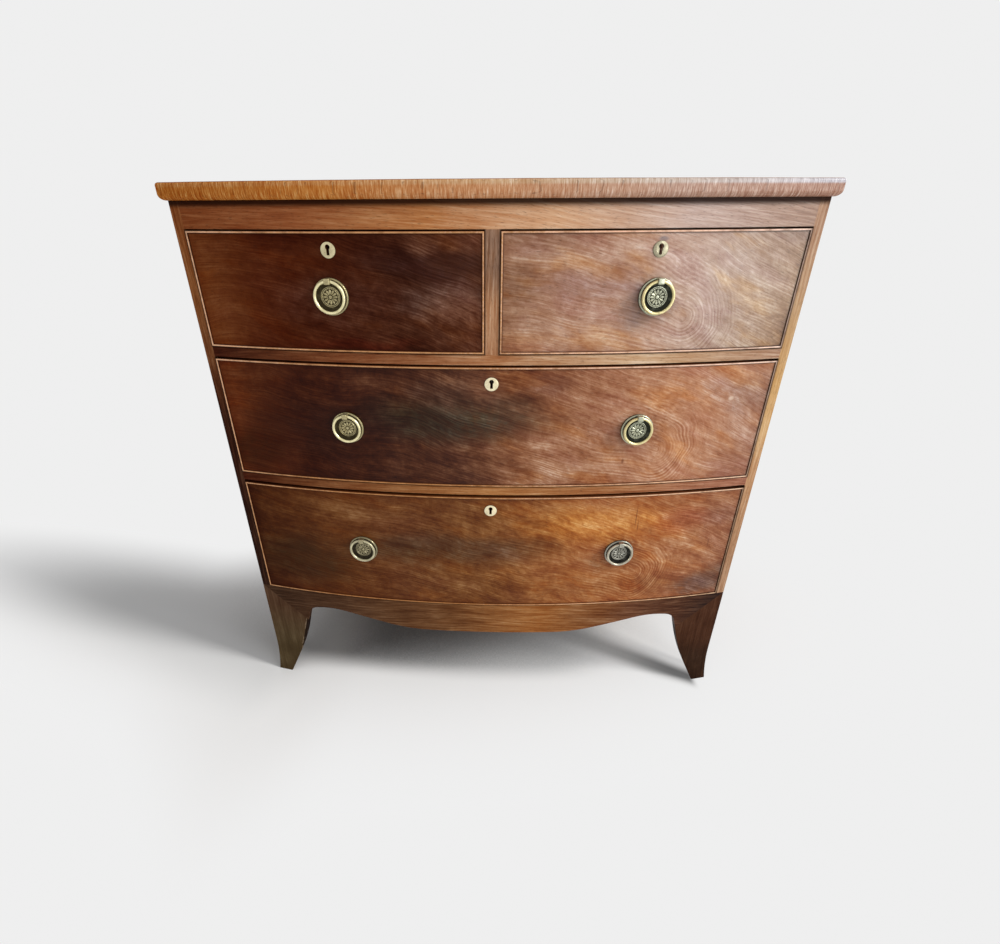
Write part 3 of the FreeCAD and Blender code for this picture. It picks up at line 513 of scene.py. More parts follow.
def figured_mahogany(drawer, apex, tilt, tones, smoke, glow, marks=(), gloss=0.5, figure=1,
                     contrast=1):
    """Crotch figure of a drawer front, its tones running from left to right.

    d = sqrt(max(u, 0)^2 + w^2) / (1 + 2.3 max(-u, 0)), where u and w lie along and across the
    tilted grain: half rings to the right of the apex, arms that fan out to its left. Near the apex
    the grain follows d, with fine rings a pitch apart. Elsewhere it slopes ever more steeply to the
    right: z + 0.08 s + 0.16 s^2 / span is constant along it, s being the distance from the left end.
    Smoke and glow are soft patches, marks are small hard ones. Beside the bead the front is darkened
    with painted shade.
    """
    f = Finish(f"{drawer}_veneer")
    seed = DRAWERS.index(drawer) + 1
    x_low, x_high, _, _ = front_box(drawer)
    turn = math.radians(tilt)
    sway = f.cloud(f.place, 6, 1)
    bend = f.cloud((f.x * 16, f.z * 26, seed), 1, 1)
    x = f.x - apex[0]
    z = f.z - apex[1]
    u = x * math.cos(turn) + z * math.sin(turn) + sway * 0.05 + bend * 0.01
    w = z * math.cos(turn) - x * math.sin(turn) + sway * 0.04 + bend * 0.01
    behind = (0 - u).above(0)
    d = u.above(0).hypot(w) / (behind * 2.3 + 1)
    side = w.rise(-0.012, 0.012) * behind.rise(0, 0.05) * 4 + seed
    run = f.x - x_low
    across = f.z + run * 0.08 + run * run * (0.16 / (apex[0] - x_low)) + sway * 0.05 + bend * 0.006
    near = d.fall(0.05, 0.1) * u.rise(-0.16, -0.02) * figure

    share = run * (1 / (x_high - x_low))
    cloud = f.cloud((f.x, f.z * 1.6, seed + 10), 7, 4, 0.6)
    blotch = f.cloud((run * 20, across * 42, seed + 14), 1, 4, 0.6)
    mottle = f.cloud((run * 75, across * 120 + cloud * 9, seed + 8), 1, 4, 0.7)
    straight = curled_grain(f, run, across, seed)
    curled = curled_grain(f, u, d, side)
    grain = straight + (curled - straight) * near
    pore = f.noise((run * 110, across * 1100, seed + 60), 1, 1).rise(0.63, 0.73)
    rings = (d * (TURN / RING_PITCH) + bend * 7).sine() * near * d.rise(0.004, 0.014)
    lines = (across * (TURN / LINE_PITCH) + bend * 5).sine() * (blotch + cloud).rise(-0.05, 0.2)

    bent_x = f.x + cloud * 0.1 + blotch * 0.03
    bent_z = f.z + cloud * 0.05 + blotch * 0.02
    colour = f.spread(share + cloud * 0.2 + blotch * 0.1, tones)
    colour = f.patches(colour, bent_x, bent_z, smoke, (mottle + blotch) * 1.6)
    hue = f.noise((run * 9, across * 22, seed + 30), 1, 3, 0.6)
    colour = f.mix(colour, WARM, hue.rise(0.5, 0.68) * 0.9, "MULTIPLY")
    colour = f.mix(colour, COOL, hue.fall(0.34, 0.5) * 0.9, "MULTIPLY")
    light = cloud * 0.55 + blotch * 1.25 + mottle * 0.9 + grain * 0.97 + rings * 0.11
    light = light + lines * near.rise(0, 1, 0.07, 0)
    for oval in glow:
        light = light + f.spot(bent_x, bent_z, *oval)
    inset = 0 - outline_reach(f, drawer) - BEAD_WIDTH
    # painted shade: the wood darkens within 18 mm of the bead
    light = light * towards_light(f).rise(0.05, 0.75, 0.45, 1) * contrast - inset.fall(0, 0.018) * 0.1
    colour = f.deepen(colour, light)
    colour = f.patches(colour, f.x, f.z, marks, mottle)
    colour = f.mix(colour, srgb(30, 12, 7), pore * 0.45)
    # painted shadow: a dark line along the bead's inner side
    colour = f.mix(colour, srgb(40, 16, 7), inset.rise(0.1 * MM, 2.2 * MM, 0.62, 0))
    return wood_surface(f, colour, pore, grain, towards_light(f) * gloss)


# ---- other materials

def oak(name, grain, seed):
    """Unpolished drawer lining: greyed oak with dark pores and paler ray flecks."""
    f = Finish(name)
    along, across, deep = f.axes(grain)
    across = across + deep * 0.6 + f.cloud(f.place, 4, 2) * 0.02
    streak, fibre, pore = grain_fields(f, along, across, seed, 16)
    ray = f.noise((along * 60, across * 900, seed), 1, 1).rise(0.62, 0.7)
    tone = 0.5 + streak * 0.9 + fibre * 0.5 + f.cloud(f.place, 5, 4) * 0.5
    colour = f.ramp(tone, (0, (92, 64, 38)), (0.5, (142, 106, 66)), (1, (184, 148, 102)))
    colour = f.mix(colour, srgb(204, 172, 126), ray * 0.3)
    colour = f.mix(colour, srgb(62, 40, 24), pore * 0.6)
    return f.surface(colour, Roughness=(0.72 + pore * 0.2 - ray * 0.15).clip(),
                     Normal=f.bump(fibre * 0.4 - pore, 0.7 * MM, 0.6), Specular_IOR_Level=DULL)


def pine(name, grain, seed):
    """Old unpolished pine: wide soft bands, darker late wood and a few knots."""
    f = Finish(name)
    along, across, deep = f.axes(grain)
    cell = f.cells((along * 2.2, across * 8, seed))
    across = across + deep * 0.5 + cell.fall(0.05, 0.35) * 0.012 + f.cloud(f.place, 2, 2) * 0.03
    rings = (across * 900 + f.cloud((along, across * 20, seed), 3, 2) * 16).sine()
    late = rings.rise(0.3, 1)
    streak, fibre, _ = grain_fields(f, along, across, seed, 12)
    tone = 0.55 + streak * 0.5 + fibre * 0.3 + f.cloud(f.place, 4, 4) * 0.7 - late * 0.28
    colour = f.ramp(tone, (0, (96, 62, 32)), (0.5, (156, 112, 64)), (1, (196, 156, 100)))
    colour = f.mix(colour, srgb(70, 38, 18), cell.fall(0.03, 0.09) * 0.85)
    return f.surface(colour, Roughness=(0.75 + late * 0.08).clip(),
                     Normal=f.bump(fibre * 0.4 - late * 0.4, 0.6 * MM), Specular_IOR_Level=DULL)


def brass(name, worn, shade, relief=True, grime_and_shade=0.35):
    """Cast brass: bright where hands rub it, tarnished in its hollows.

    Worn and shade are each a pair of tones, for the left and the right of the chest.
    """
    f = Finish(name)
    speck = f.noise(f.place, 420, 3, 0.6)
    cloud = f.noise(f.place, 90, 3, 0.6)
    scratch = f.noise((f.x * 1500, f.y * 1500, f.z * 260), 1, 2)
    dirt = (cloud.rise(0.35, 0.75) * grime_and_shade + speck.rise(0.58, 0.72) * 0.35).clip()
    if relief:
        dirt = (dirt + f.attribute("relief").fall(0.15, 0.75) * 0.9).clip()
    right = towards_light(f).rise(0.3, 0.7)
    bright, dark = (f.mix(srgb(*pair[0]), srgb(*pair[1]), right) for pair in (worn, shade))
    colour = f.mix(bright, dark, dirt)
    colour = f.mix(colour, srgb(255, 244, 206), scratch.rise(0.55, 0.75) * (1 - dirt) * 0.4)
    return f.surface(colour, Metallic=(0.8 - dirt * 0.6).clip(), Roughness=(0.26 + dirt * 0.45).clip(),
                     Normal=f.bump(speck * 0.7 + cloud * 0.5, 0.3 * MM), Specular_IOR_Level=DULL)


def iron(name):
    """Dull iron of the locks, nuts and bolts, with a little rust."""
    f = Finish(name)
    cloud = f.noise(f.place, 60, 4, 0.6)
    speck = f.noise(f.place, 600, 2)
    rust = cloud.rise(0.52, 0.72) * 0.8
    colour = f.spread(speck, [(58, 54, 52), (140, 132, 124)])
    colour = f.mix(colour, srgb(104, 60, 36), rust)
    return f.surface(colour, Metallic=(0.85 - rust * 0.7).clip(), Roughness=(0.42 + rust * 0.35).clip(),
                     Normal=f.bump(speck + cloud, 0.3 * MM))


def bead_wood(name):
    """Cock beads: dark on their sides, pale along the nose, partly rubbed and partly painted highlight;
    at the far right the nose keeps the dark tone as painted shade.
    """
    f = Finish(name)
    rub = f.noise(f.place, 60, 4, 0.65)
    break_up = f.noise(f.place, 300, 2)
    # painted shade: the beads at the chest's right edge get no pale nose
    outside_right_shade = f.x.fall(CASE_HALF - 22 * MM, CASE_HALF - 14 * MM)
    rubbed_and_highlit = (f.attribute("relief").rise(0.45, 0.97) * rub.rise(0.25, 0.6, 0.45, 1) * outside_right_shade
            * f.z.rise(0.25, 0.8, 0.72, 1)).clip()
    shift = towards_light(f)
    # The base tone's dark right end is painted shade.
    base = f.ramp(
        shift, (0, (60, 26, 10)), (0.45, (98, 52, 24)), (0.85, (96, 54, 30)), (1, (34, 14, 6)))
    # Pale nose: partly rubbed wood, partly painted highlight and sheen, cooler high up and warmer low
    # down.
    pale = f.ramp(
        shift + (break_up - 0.5) * 0.4, (0, (226, 178, 142)), (0.2, (200, 146, 100)),
        (0.45, (190, 140, 94)), (0.65, (230, 184, 152)), (1, (240, 208, 188)))
    pale = f.mix(pale, (1.04, 0.92, 0.68), f.z.fall(0.3, 0.75) * 0.9, "MULTIPLY")
    return f.surface(f.mix(base, pale, rubbed_and_highlit), Roughness=(0.5 - rubbed_and_highlit * 0.12).clip(),
                     Coat_Weight=(rubbed_and_highlit * 0.2).clip(), Normal=f.bump(break_up, 0.2 * MM, 0.4),
                     **POLISH)


# ---- pieces

def make_cock_bead(drawer, finish):
    """Four mitred strips with a half-round nose, round the edge of one drawer front.

    Section (a, b), a measured in from the front's edge and b out from the bow: up the outer side,
    round the nose a = r - r cos t, b = b0 + r sin t, and down the inner side. It is carried round the
    rectangle x = low + a ... high - a, z = low + a ... high - a, at y = centre - sqrt((R + b)^2 - x^2).
    """
    x_low, x_high, z_low, z_high = front_box(drawer)
    radius = BEAD_WIDTH / 2
    turn = np.linspace(0, np.pi, 13)
    inset = np.concatenate([[0.0], radius - radius * np.cos(turn), [BEAD_WIDTH]])[:, None]
    nose = BEAD_PROUD - radius + radius * np.sin(turn)
    out = np.concatenate([[-BEAD_DEPTH], nose, [-BEAD_DEPTH]])[:, None]
    worn = np.concatenate([[0.0], np.sin(turn), [0.0]])[:, None]
    wide, high = (np.linspace(0, 1, 2 + int(length / BEAD_STEP))[:-1]
                  for length in (x_high - x_low, z_high - z_low))
    across = np.concatenate([wide, 1 + 0 * high, 1 - wide, 0 * high])
    up = np.concatenate([0 * wide, high, 1 + 0 * wide, 1 - high])
    sag = wobble(np.arange(across.size) * BEAD_STEP, DRAWERS.index(drawer) * 3.1, BEAD_SAG)
    x = x_low + inset + (x_high - x_low - 2 * inset) * across
    z = z_low + inset + (z_high - z_low - 2 * inset) * up
    y = bow_y(x, BOW_RADIUS + out + (sag - BEAD_WEAR) * worn)
    points = np.stack([x, y, z], axis=-1)
    mesh = build_mesh(f"{drawer}_bead", [(points, True, True)], relief=[worn + 0 * x])
    add_piece(f"{drawer}_bead", mesh, f"{drawer}_drawer", finish, f"{drawer}_cock_beads")


def ease(share):
    """Smooth step of a share, which is first kept between 0 and 1: 3 s^2 - 2 s^3."""
    share = np.clip(share, 0, 1)
    return share * share * (3 - 2 * share)


def rosette_height(r, angle):
    """Height of a pull plate above the drawer front at radius r and an angle round it.

    Levels joined by smooth slopes: the boss, a groove, twelve petals with a vein each, a beaded band,
    a fillet, a wire, the dished flat and the raised outer rim. A petal is |cos n a|^0.8, n being
    half their number, cut to a width that shrinks towards its tip.
    """
    width = np.minimum(1.0, np.clip((10.4 * MM - r) / (3.4 * MM), 0, 1) * 1.4)
    petal = np.abs(np.cos(PETAL_PAIRS * angle)) ** 0.8
    leaf = ease((petal - (1 - width)) / np.maximum(width, 0.05))
    vein = 0.25 * MM * np.exp(-((np.cos(PETAL_PAIRS * angle) ** 2 - 1) / 0.02) ** 2)
    inside = PLATE_RADIUS - RIM_WIDTH
    lip = RIM_HEIGHT - 0.5 * MM * ((r - inside - 1.3 * MM) / (1.3 * MM)) ** 2
    height = BOSS_HEIGHT - 0.5 * MM * (r / BOSS_RADIUS) ** 2
    for level, low, high in (
            (ROSETTE_HEIGHT - 1.1 * MM, BOSS_RADIUS - 0.3 * MM, BOSS_RADIUS + 0.3 * MM),
            (ROSETTE_HEIGHT - 1.0 * MM + (1.0 * MM - vein) * leaf, 3.2 * MM, 3.7 * MM),
            (ROSETTE_HEIGHT - 0.35 * MM + 0.25 * MM * np.cos(BAND_BEADS * angle), 10.6 * MM, 11.2 * MM),
            (ROSETTE_HEIGHT - 0.9 * MM, 12.2 * MM, 12.5 * MM),
            (ROSETTE_HEIGHT - 0.2 * MM, 12.9 * MM, 13.2 * MM),
            (DISH_HEIGHT, ROSETTE_RADIUS - 0.4 * MM, ROSETTE_RADIUS),
            (lip, inside, inside + 0.6 * MM)):
        height = height + (level - height) * ease((r - low) / (high - low))
    return height


def make_pull_plate(name, x, z, body, finish, node):
    """Dished plate with a petalled rosette: a disc h(r, angle), its edge, back and the ring's eye.

    Eye: a washer of square outline round the bore, rho(t) from the bore circle to a rounded square,
    carried across its width with its edges rounded.
    """
    angle = np.linspace(0, TURN, 241)[:-1]
    radii = np.concatenate([
        np.linspace(0, 3.0, 10), np.linspace(3.2, 14.4, 50), np.linspace(15.2, 22.2, 8),
        np.linspace(22.7, 25.3, 16),
    ]) * MM
    r, t = np.meshgrid(np.append(radii, [PLATE_RADIUS, PLATE_RADIUS, 0.0]), angle, indexing="ij")
    h = rosette_height(r, t)
    h[-3:] = np.array([RIM_HEIGHT - 1.0 * MM, 0.0, 0.0])[:, None]
    plate = on_bow(x, z, r * np.sin(t), r * np.cos(t), h)
    tarnish = np.where(r < ROSETTE_RADIUS, (h - (ROSETTE_HEIGHT - 1.1 * MM)) / (1.0 * MM),
                       (h - DISH_HEIGHT) / (RIM_HEIGHT - DISH_HEIGHT))

    around = np.linspace(0, TURN, 73)[:-1]
    square = EYE_HALF / (np.abs(np.cos(around)) ** 6 + np.abs(np.sin(around)) ** 6) ** (1 / 6)
    corner = np.linspace(0, np.pi / 2, 5)
    share = np.concatenate([[0.0], np.linspace(0.3, 1, 3)])
    spread = np.concatenate([share, 1 + 0 * corner])
    width = np.concatenate([0 * share + EYE_HALF, EYE_HALF - EYE_SOFT + EYE_SOFT * np.cos(corner)])
    pull_in = np.concatenate([0 * share + EYE_SOFT, EYE_SOFT - EYE_SOFT * np.sin(corner)])
    spread, pull_in, width = (
        np.concatenate([half, sign * half[::-1]])[:, None]
        for half, sign in ((spread, 1), (pull_in, 1), (width, -1)))
    rho = EYE_BORE + (square - pull_in - EYE_BORE) * spread
    eye = on_bow(x, z, width + 0 * rho, RING_RADIUS + rho * np.cos(around),
                 RING_STANDOFF + rho * np.sin(around))
    eye_tone = np.clip(0.6 + (rho - EYE_BORE) / EYE_HALF, 0, 1)

    tones = [np.clip(tarnish, 0, 1), eye_tone]
    mesh = build_mesh(name, [(plate, False, True), (eye, True, True)], 40.0, tones)
    add_piece(name, mesh, body, finish, node)


def keyhole_reach(direction):
    """Distance from the keyhole's hub to its edge along a direction: the farther of the round
    hole's edge and the slot's sides or foot. The hub lies a little under the round hole's centre."""
    sine = np.sin(direction)
    cosine = np.cos(direction)
    offset = KEY_RISE - KEY_HUB
    circle = offset * cosine + np.sqrt(KEY_RADIUS ** 2 - (offset * sine) ** 2)
    side = SLOT_HALF / np.maximum(np.abs(sine), 1e-9)
    foot = (KEY_HUB - SLOT_FOOT) / np.maximum(-cosine, 1e-9)
    return np.maximum(circle, np.where(cosine < 0, np.minimum(side, foot), 0.0))


def make_escutcheon(name, x, z, body, finish, node):
    """Domed round plate pierced by a keyhole.

    For each direction from the keyhole's hub the surface runs from the keyhole's edge to the rim:
    p = hub + rho (sin a, cos a), height = dome - (dome - edge) ((|p| - R/2) / (R/2))^2 beyond R/2.
    """
    foot_angle = math.atan2(SLOT_HALF, KEY_HUB - SLOT_FOOT)
    corners = [np.pi - foot_angle, np.pi + foot_angle]
    direction = np.unique(np.concatenate([np.linspace(0, TURN, 181)[:-1], corners]))
    sine = np.sin(direction)
    cosine = np.cos(direction)
    inner = keyhole_reach(direction)
    outer = -KEY_HUB * cosine + np.sqrt(ESCUTCHEON_RADIUS ** 2 - (KEY_HUB * sine) ** 2)
    share = np.concatenate([[0.0, 0.0], np.linspace(0.03, 0.985, 14), [1.0, 1.0]])[:, None]
    rho = inner + (outer - inner) * share
    across = rho * sine
    up = KEY_HUB + rho * cosine
    half = ESCUTCHEON_RADIUS / 2
    fall = np.clip((np.hypot(across, up) - half) / half, 0, 1) ** 2
    height = ESCUTCHEON_DOME - (ESCUTCHEON_DOME - ESCUTCHEON_EDGE) * fall
    height[[1, -2]] -= ESCUTCHEON_ROUND
    height[[0, -1]] = 0
    # The plate darkens towards its outer edge and at the keyhole: painted shade where it meets the wood
    # and inside the hole.
    bright = 0.6 + 0.4 * share - 0.55 * np.clip((share - 0.80) / 0.20, 0, 1) + 0 * rho
    bright[[0, 1, -2, -1]] = np.array([0.0, 0.3, 0.25, 0.2])[:, None]
    mesh = build_mesh(name, [(on_bow(x, z, across, up, height), True, True)], 50.0, [bright])
    add_piece(name, mesh, body, finish, node)


def make_top(finish):
    """Bowed top board: its edge section carried round the outline, and its two faces.

    Outline at inset a: x = +-(half - a), front y = centre - sqrt((R + overhang - a)^2 - x^2), back
    straight. Edge section: a = r - r sin t below and r - r cos t above, r being each corner's round.
    """
    low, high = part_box("top_board")
    turn = np.linspace(0, np.pi / 2, 9)
    under = TOP_LOWER_ROUND
    over = TOP_UPPER_ROUND
    inset = np.concatenate([under - under * np.sin(turn), over - over * np.cos(turn)])
    level = np.concatenate([low.z + under - under * np.cos(turn), high.z - over + over * np.sin(turn)])
    lift = np.concatenate([0 * turn, turn / turn[-1]])
    share_x = np.linspace(0, 1, 184)
    share_y = np.linspace(0, 1, 60)[:, None]

    def skin(inset_now, level_now):
        """Face of the board at one inset: x and y spread between the outline's sides."""
        reach = high.x - inset_now
        x = -reach + 2 * reach * share_x
        front = bow_y(x, BOW_RADIUS + TOP_OVERHANG - inset_now)
        y = front + (high.y - front) * share_y
        return np.stack([x + 0 * y, y, level_now + 0 * y], axis=-1)

    faces = [skin(a, z) for a, z in zip(inset, level)]
    wall = np.stack([np.concatenate([s[0, :-1], s[:-1, -1], s[-1, :0:-1], s[:0:-1, 0]]) for s in faces])
    top = faces[-1]
    bottom = faces[0]
    for sheet, amount in ((wall, lift[:, None]), (top, 1.0)):
        x, y = sheet[..., 0], sheet[..., 1]
        dip = wobble(x + 0.3 * y, 1.3, TOP_WEAR) + wobble(y - 0.2 * x, 4.1, TOP_WEAR)
        sheet[..., 2] -= np.abs(dip) * amount
    mesh = build_mesh("top", [(wall, False, True), (top, False, False), (bottom, False, False)], 30.0)
    add_piece("top", mesh, "carcase", finish, "top_board")


# ---- finishes of this chest

def upper_left_veneer():
    """Darkest front, maroon, partly its own tone and partly painted shade at the end away from the
    light; smoky to the right of its pull.
    """
    tones = [(110, 58, 26), (76, 31, 11), (64, 26, 10), (62, 29, 15), (98, 58, 40)]
    smoke = [
        (-0.08, 0.825, 0.16, 0.035, 0.7, (42, 18, 13)),
        (-0.22, 0.78, 0.11, 0.05, 0.35, (80, 46, 34)),
        (-0.05, 0.785, 0.1, 0.03, 0.65, (74, 50, 42)),
        (-0.2, 0.715, 0.12, 0.015, 0.4, (84, 28, 12)),
        (-0.045, 0.765, 0.05, 0.045, 0.6, (112, 72, 54)),
    ]
    glow = [(-0.11, 0.722, 0.06, 0.012, 0.1), (-0.4, 0.75, 0.07, 0.06, 0.06)]
    return figured_mahogany("upper_left", (0.06, 0.77), -10, tones, smoke, glow, gloss=0.08,
                            figure=0.25, contrast=0.85)


def upper_right_veneer():
    """Pale purplish front, its paleness painted light and sheen from the right, with a dark halo round
    its pull.
    """
    tones = [(146, 105, 78), (162, 120, 96), (176, 140, 119), (165, 138, 120), (140, 108, 78)]
    smoke = [
        (0.035, 0.8, 0.045, 0.04, 0.35, (108, 76, 60)),
        (0.05, 0.718, 0.06, 0.03, 0.55, (156, 100, 58)),
        (0.07, 0.862, 0.08, 0.03, 0.5, (136, 98, 78)),
        (0.41, 0.865, 0.05, 0.03, 0.6, (142, 118, 106)),
        (0.15, 0.8, 0.13, 0.03, 0.35, (130, 96, 96)),
        (0.215, 0.772, 0.055, 0.045, 0.75, (98, 72, 66)),
    ]
    marks = [(0.2265, 0.856, 0.01, 0.0045, 0.8, (120, 106, 106))]
    glow = [
        (0.36, 0.8, 0.09, 0.07, 0.1), (0.12, 0.73, 0.1, 0.03, 0.08),
        (0.18, 0.855, 0.05, 0.03, 0.1), (0.37, 0.715, 0.07, 0.02, 0.12),
    ]
    return figured_mahogany("upper_right", (0.272, 0.752), -21, tones, smoke, glow, marks, gloss=0.85)


def middle_veneer():
    """Long front: red-brown at the left, a smoky cloud left of centre, pale at the right with painted
    light.
    """
    tones = [
        (100, 48, 21), (56, 19, 4), (56, 22, 7), (76, 39, 20), (132, 83, 54),
        (152, 102, 72), (172, 122, 90), (154, 110, 86),
    ]
    smoke = [
        (-0.065, 0.6, 0.2, 0.055, 0.88, (46, 33, 21)),
        (-0.07, 0.65, 0.07, 0.03, 0.5, (62, 38, 27)),
        (0.39, 0.5, 0.06, 0.05, 0.55, (140, 90, 66)),
        (0.075, 0.65, 0.05, 0.025, 0.35, (110, 70, 56)),
        (0.35, 0.645, 0.05, 0.025, 0.4, (164, 132, 118)),
        (0.18, 0.58, 0.05, 0.03, 0.3, (136, 90, 70)),
        (-0.395, 0.53, 0.07, 0.06, 0.7, (44, 14, 2)),
        (-0.29, 0.58, 0.16, 0.07, 0.6, (44, 16, 6)),
        (PULL_X, 0.575, 0.06, 0.05, 0.35, (96, 60, 50)),
        (0.4, 0.63, 0.06, 0.04, 0.35, (140, 116, 106)),
    ]
    marks = [
        (0.372, 0.627, 0.006, 0.005, 0.6, (214, 190, 170)),
        (0.212, 0.527, 0.003, 0.006, 0.7, (92, 44, 26)),
    ]
    glow = [
        (0.1, 0.575, 0.09, 0.03, 0.08), (0.12, 0.51, 0.14, 0.03, 0.18),
        (-0.28, 0.667, 0.2, 0.02, 0.15), (-0.18, 0.652, 0.07, 0.03, 0.3),
    ]
    return figured_mahogany("middle", (0.262, 0.545), -18, tones, smoke, glow, marks, gloss=0.7)


def lower_veneer():
    """Long front: smoky at the left, golden in the middle, dark at its lower right corner."""
    tones = [
        (66, 30, 8), (96, 52, 20), (100, 56, 25), (112, 66, 29), (148, 88, 42),
        (150, 92, 52), (140, 91, 62),
    ]
    smoke = [
        (-0.06, 0.355, 0.24, 0.045, 0.65, (78, 52, 33)),
        (-0.16, 0.35, 0.07, 0.035, 0.4, (60, 40, 26)),
        (0.15, 0.33, 0.07, 0.03, 0.3, (134, 82, 44)),
        (0.16, 0.27, 0.12, 0.04, 0.35, (120, 72, 36)),
        (0.3, 0.265, 0.08, 0.035, 0.8, (124, 70, 34)),
        (0.18, 0.405, 0.15, 0.05, 0.55, (190, 116, 42)),
        (0.33, 0.405, 0.06, 0.035, 0.5, (156, 88, 56)),
        (-0.34, 0.31, 0.15, 0.08, 0.75, (54, 31, 13)),
        (0.42, 0.27, 0.06, 0.045, 0.6, (84, 60, 50)),
        (0.385, 0.262, 0.06, 0.03, 0.8, (78, 46, 36)),
        (0.4, 0.41, 0.06, 0.03, 0.4, (120, 78, 62)),
        (PULL_X, 0.335, 0.06, 0.05, 0.3, (90, 56, 38)),
    ]
    marks = [
        (0.25, 0.418, 0.0011, 0.03, 0.75, (84, 34, 14)),
        (0.255, 0.4, 0.001, 0.016, 0.7, (84, 34, 14)),
        (0.392, 0.352, 0.001, 0.016, 0.6, (84, 40, 24)),
        (0.33, 0.402, 0.0016, 0.0012, 0.8, (70, 24, 10)),
        (0.317, 0.398, 0.0012, 0.001, 0.8, (70, 24, 10)),
        (0.06, 0.262, 0.0016, 0.0014, 0.8, (80, 24, 8)),
    ]
    glow = [
        (0.17, 0.415, 0.14, 0.05, 0.2), (0.34, 0.34, 0.08, 0.05, 0.08),
        (-0.27, 0.422, 0.13, 0.03, 0.42),
    ]
    return figured_mahogany("lower", (0.258, 0.3), -20, tones, smoke, glow, marks, gloss=0.5)


# The left front foot's inner edge: x at the floor, x and z of its knee, and dx/dz above the knee.
INNER_EDGE = (-0.428, -0.392, 0.076, 0.29)
# FOOT_SHADE is the tone of painted shade on the feet's return faces and along the left foot's inner
# edge.
FOOT_SHADE = (26, 13, 8)


def top_finish():
    """Cross-banded edge with short upright streaks, long grain on the top surface; a pale band along
    the upper round of the edge is a painted reflection, strongest at the right.
    """
    f = Finish("top_mahogany")
    _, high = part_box("top_board")
    edge = f.z.fall(high.z - 1.2 * MM, high.z - 0.2 * MM)
    streak, fibre, pore = grain_fields(f, f.x, f.y + f.cloud(f.place, 3, 2) * 0.03, 5)
    flow = f.x + (f.y - f.x) * f.x.size().rise(high.x - 5 * MM, high.x - 3 * MM)
    short = f.cloud((flow * 560, f.z * 60, 3), 1, 3, 0.7)
    stripe = f.cloud((flow * 140, f.z * 20, 6), 1, 2, 0.6)
    block = f.cloud((flow * 34, f.z * 6, 8), 1, 2)
    cloud = f.cloud(f.place, 5, 4, 0.6)
    shift = towards_light(f)
    # The edge's greyish right-hand tones carry painted sheen.
    banding = f.spread(shift + cloud * 0.1, [
        (160, 92, 32), (180, 112, 48), (188, 136, 96), (174, 139, 120), (154, 114, 94)])
    # painted reflection along the upper round of the edge
    crest_reflection = f.z.rise(high.z - 8 * MM, high.z - 4.5 * MM)
    pale = f.spread(shift, [(190, 140, 84), (196, 166, 128), (184, 180, 186)])
    banding = f.mix(banding, pale, crest_reflection * shift.rise(0.1, 0.9, 0.2, 0.95))
    banding = f.deepen(banding, short * 2.4 + stripe * 0.45 + block * 0.15)
    sheet = f.spread(shift, [(112, 60, 34), (150, 98, 66)])
    sheet = f.deepen(sheet, streak * 0.7 + fibre * 0.6 + cloud * 0.6)
    nick = f.cells(f.place, 70).fall(0.02, 0.06)
    colour = f.mix(f.mix(sheet, banding, edge), srgb(54, 26, 12), (nick * 0.6 + pore * 0.35).clip())
    return wood_surface(f, colour, pore, short, shift * 0.6)


def foot_finish():
    """Feet: upright grain, greyed by rubbing and darkened with painted shade towards the floor, with
    painted shade along and round their inner edges.
    """
    f = Finish("foot_mahogany")
    streak, fibre, pore = grain_fields(f, f.z, f.x + f.y * 0.5, 7)
    shift = towards_light(f)
    left = f.mix(srgb(84, 68, 45), srgb(76, 51, 34), f.z.rise(0.08, 0.2))
    right = f.mix(srgb(50, 31, 20), srgb(63, 36, 22), f.z.rise(0.05, 0.13))
    light = streak * 0.5 + fibre * 0.5 + f.cloud(f.place, 14, 4, 0.6) * 0.5
    # The z term darkens the feet towards the floor: painted shade.
    colour = f.deepen(f.mix(left, right, shift), light + f.z.rise(0, 0.2, -0.12, 0.04))
    scuff = f.noise(f.place, 55, 4, 0.65).rise(0.5, 0.75) * f.z.rise(0, 0.09, 1, 0.1)
    colour = f.mix(colour, f.spread(shift, [(88, 82, 56), (70, 46, 32)]), scuff * 0.5)
    depth = f.behind_bow()
    return_face = (depth.rise(0.4 * MM, 1.6 * MM) * depth.rise(0.024, 0.03, 1, 0.2)
                   * f.x.size().fall(0.432, 0.44))
    # painted shade on the feet's return faces
    colour = f.mix(colour, srgb(*FOOT_SHADE), return_face * 0.9)
    foot_x, knee_x, knee_z, knee_slope = INNER_EDGE
    edge = f.x - f.z.rise(0, knee_z, foot_x, knee_x) - (f.z - knee_z).above(0) * knee_slope
    left_foot = f.x.fall(-0.3, -0.2) * (depth + 1 * MM).rise(0, 0.4 * MM)
    # painted shade in a band along the left foot's inner edge
    colour = f.mix(colour, srgb(*FOOT_SHADE), edge.rise(0, 1.2 * MM) * left_foot * 0.9)
    chips = f.noise(f.place, 120, 3, 0.7).rise(0.42, 0.6) * f.x.size().rise(0.425, 0.44, 0.8, 0)
    rubbed = edge.size().fall(0.4 * MM, 1.4 * MM) * left_foot * chips
    colour = f.mix(colour, srgb(150, 128, 104), rubbed)
    return wood_surface(f, colour, pore, fibre, 0)


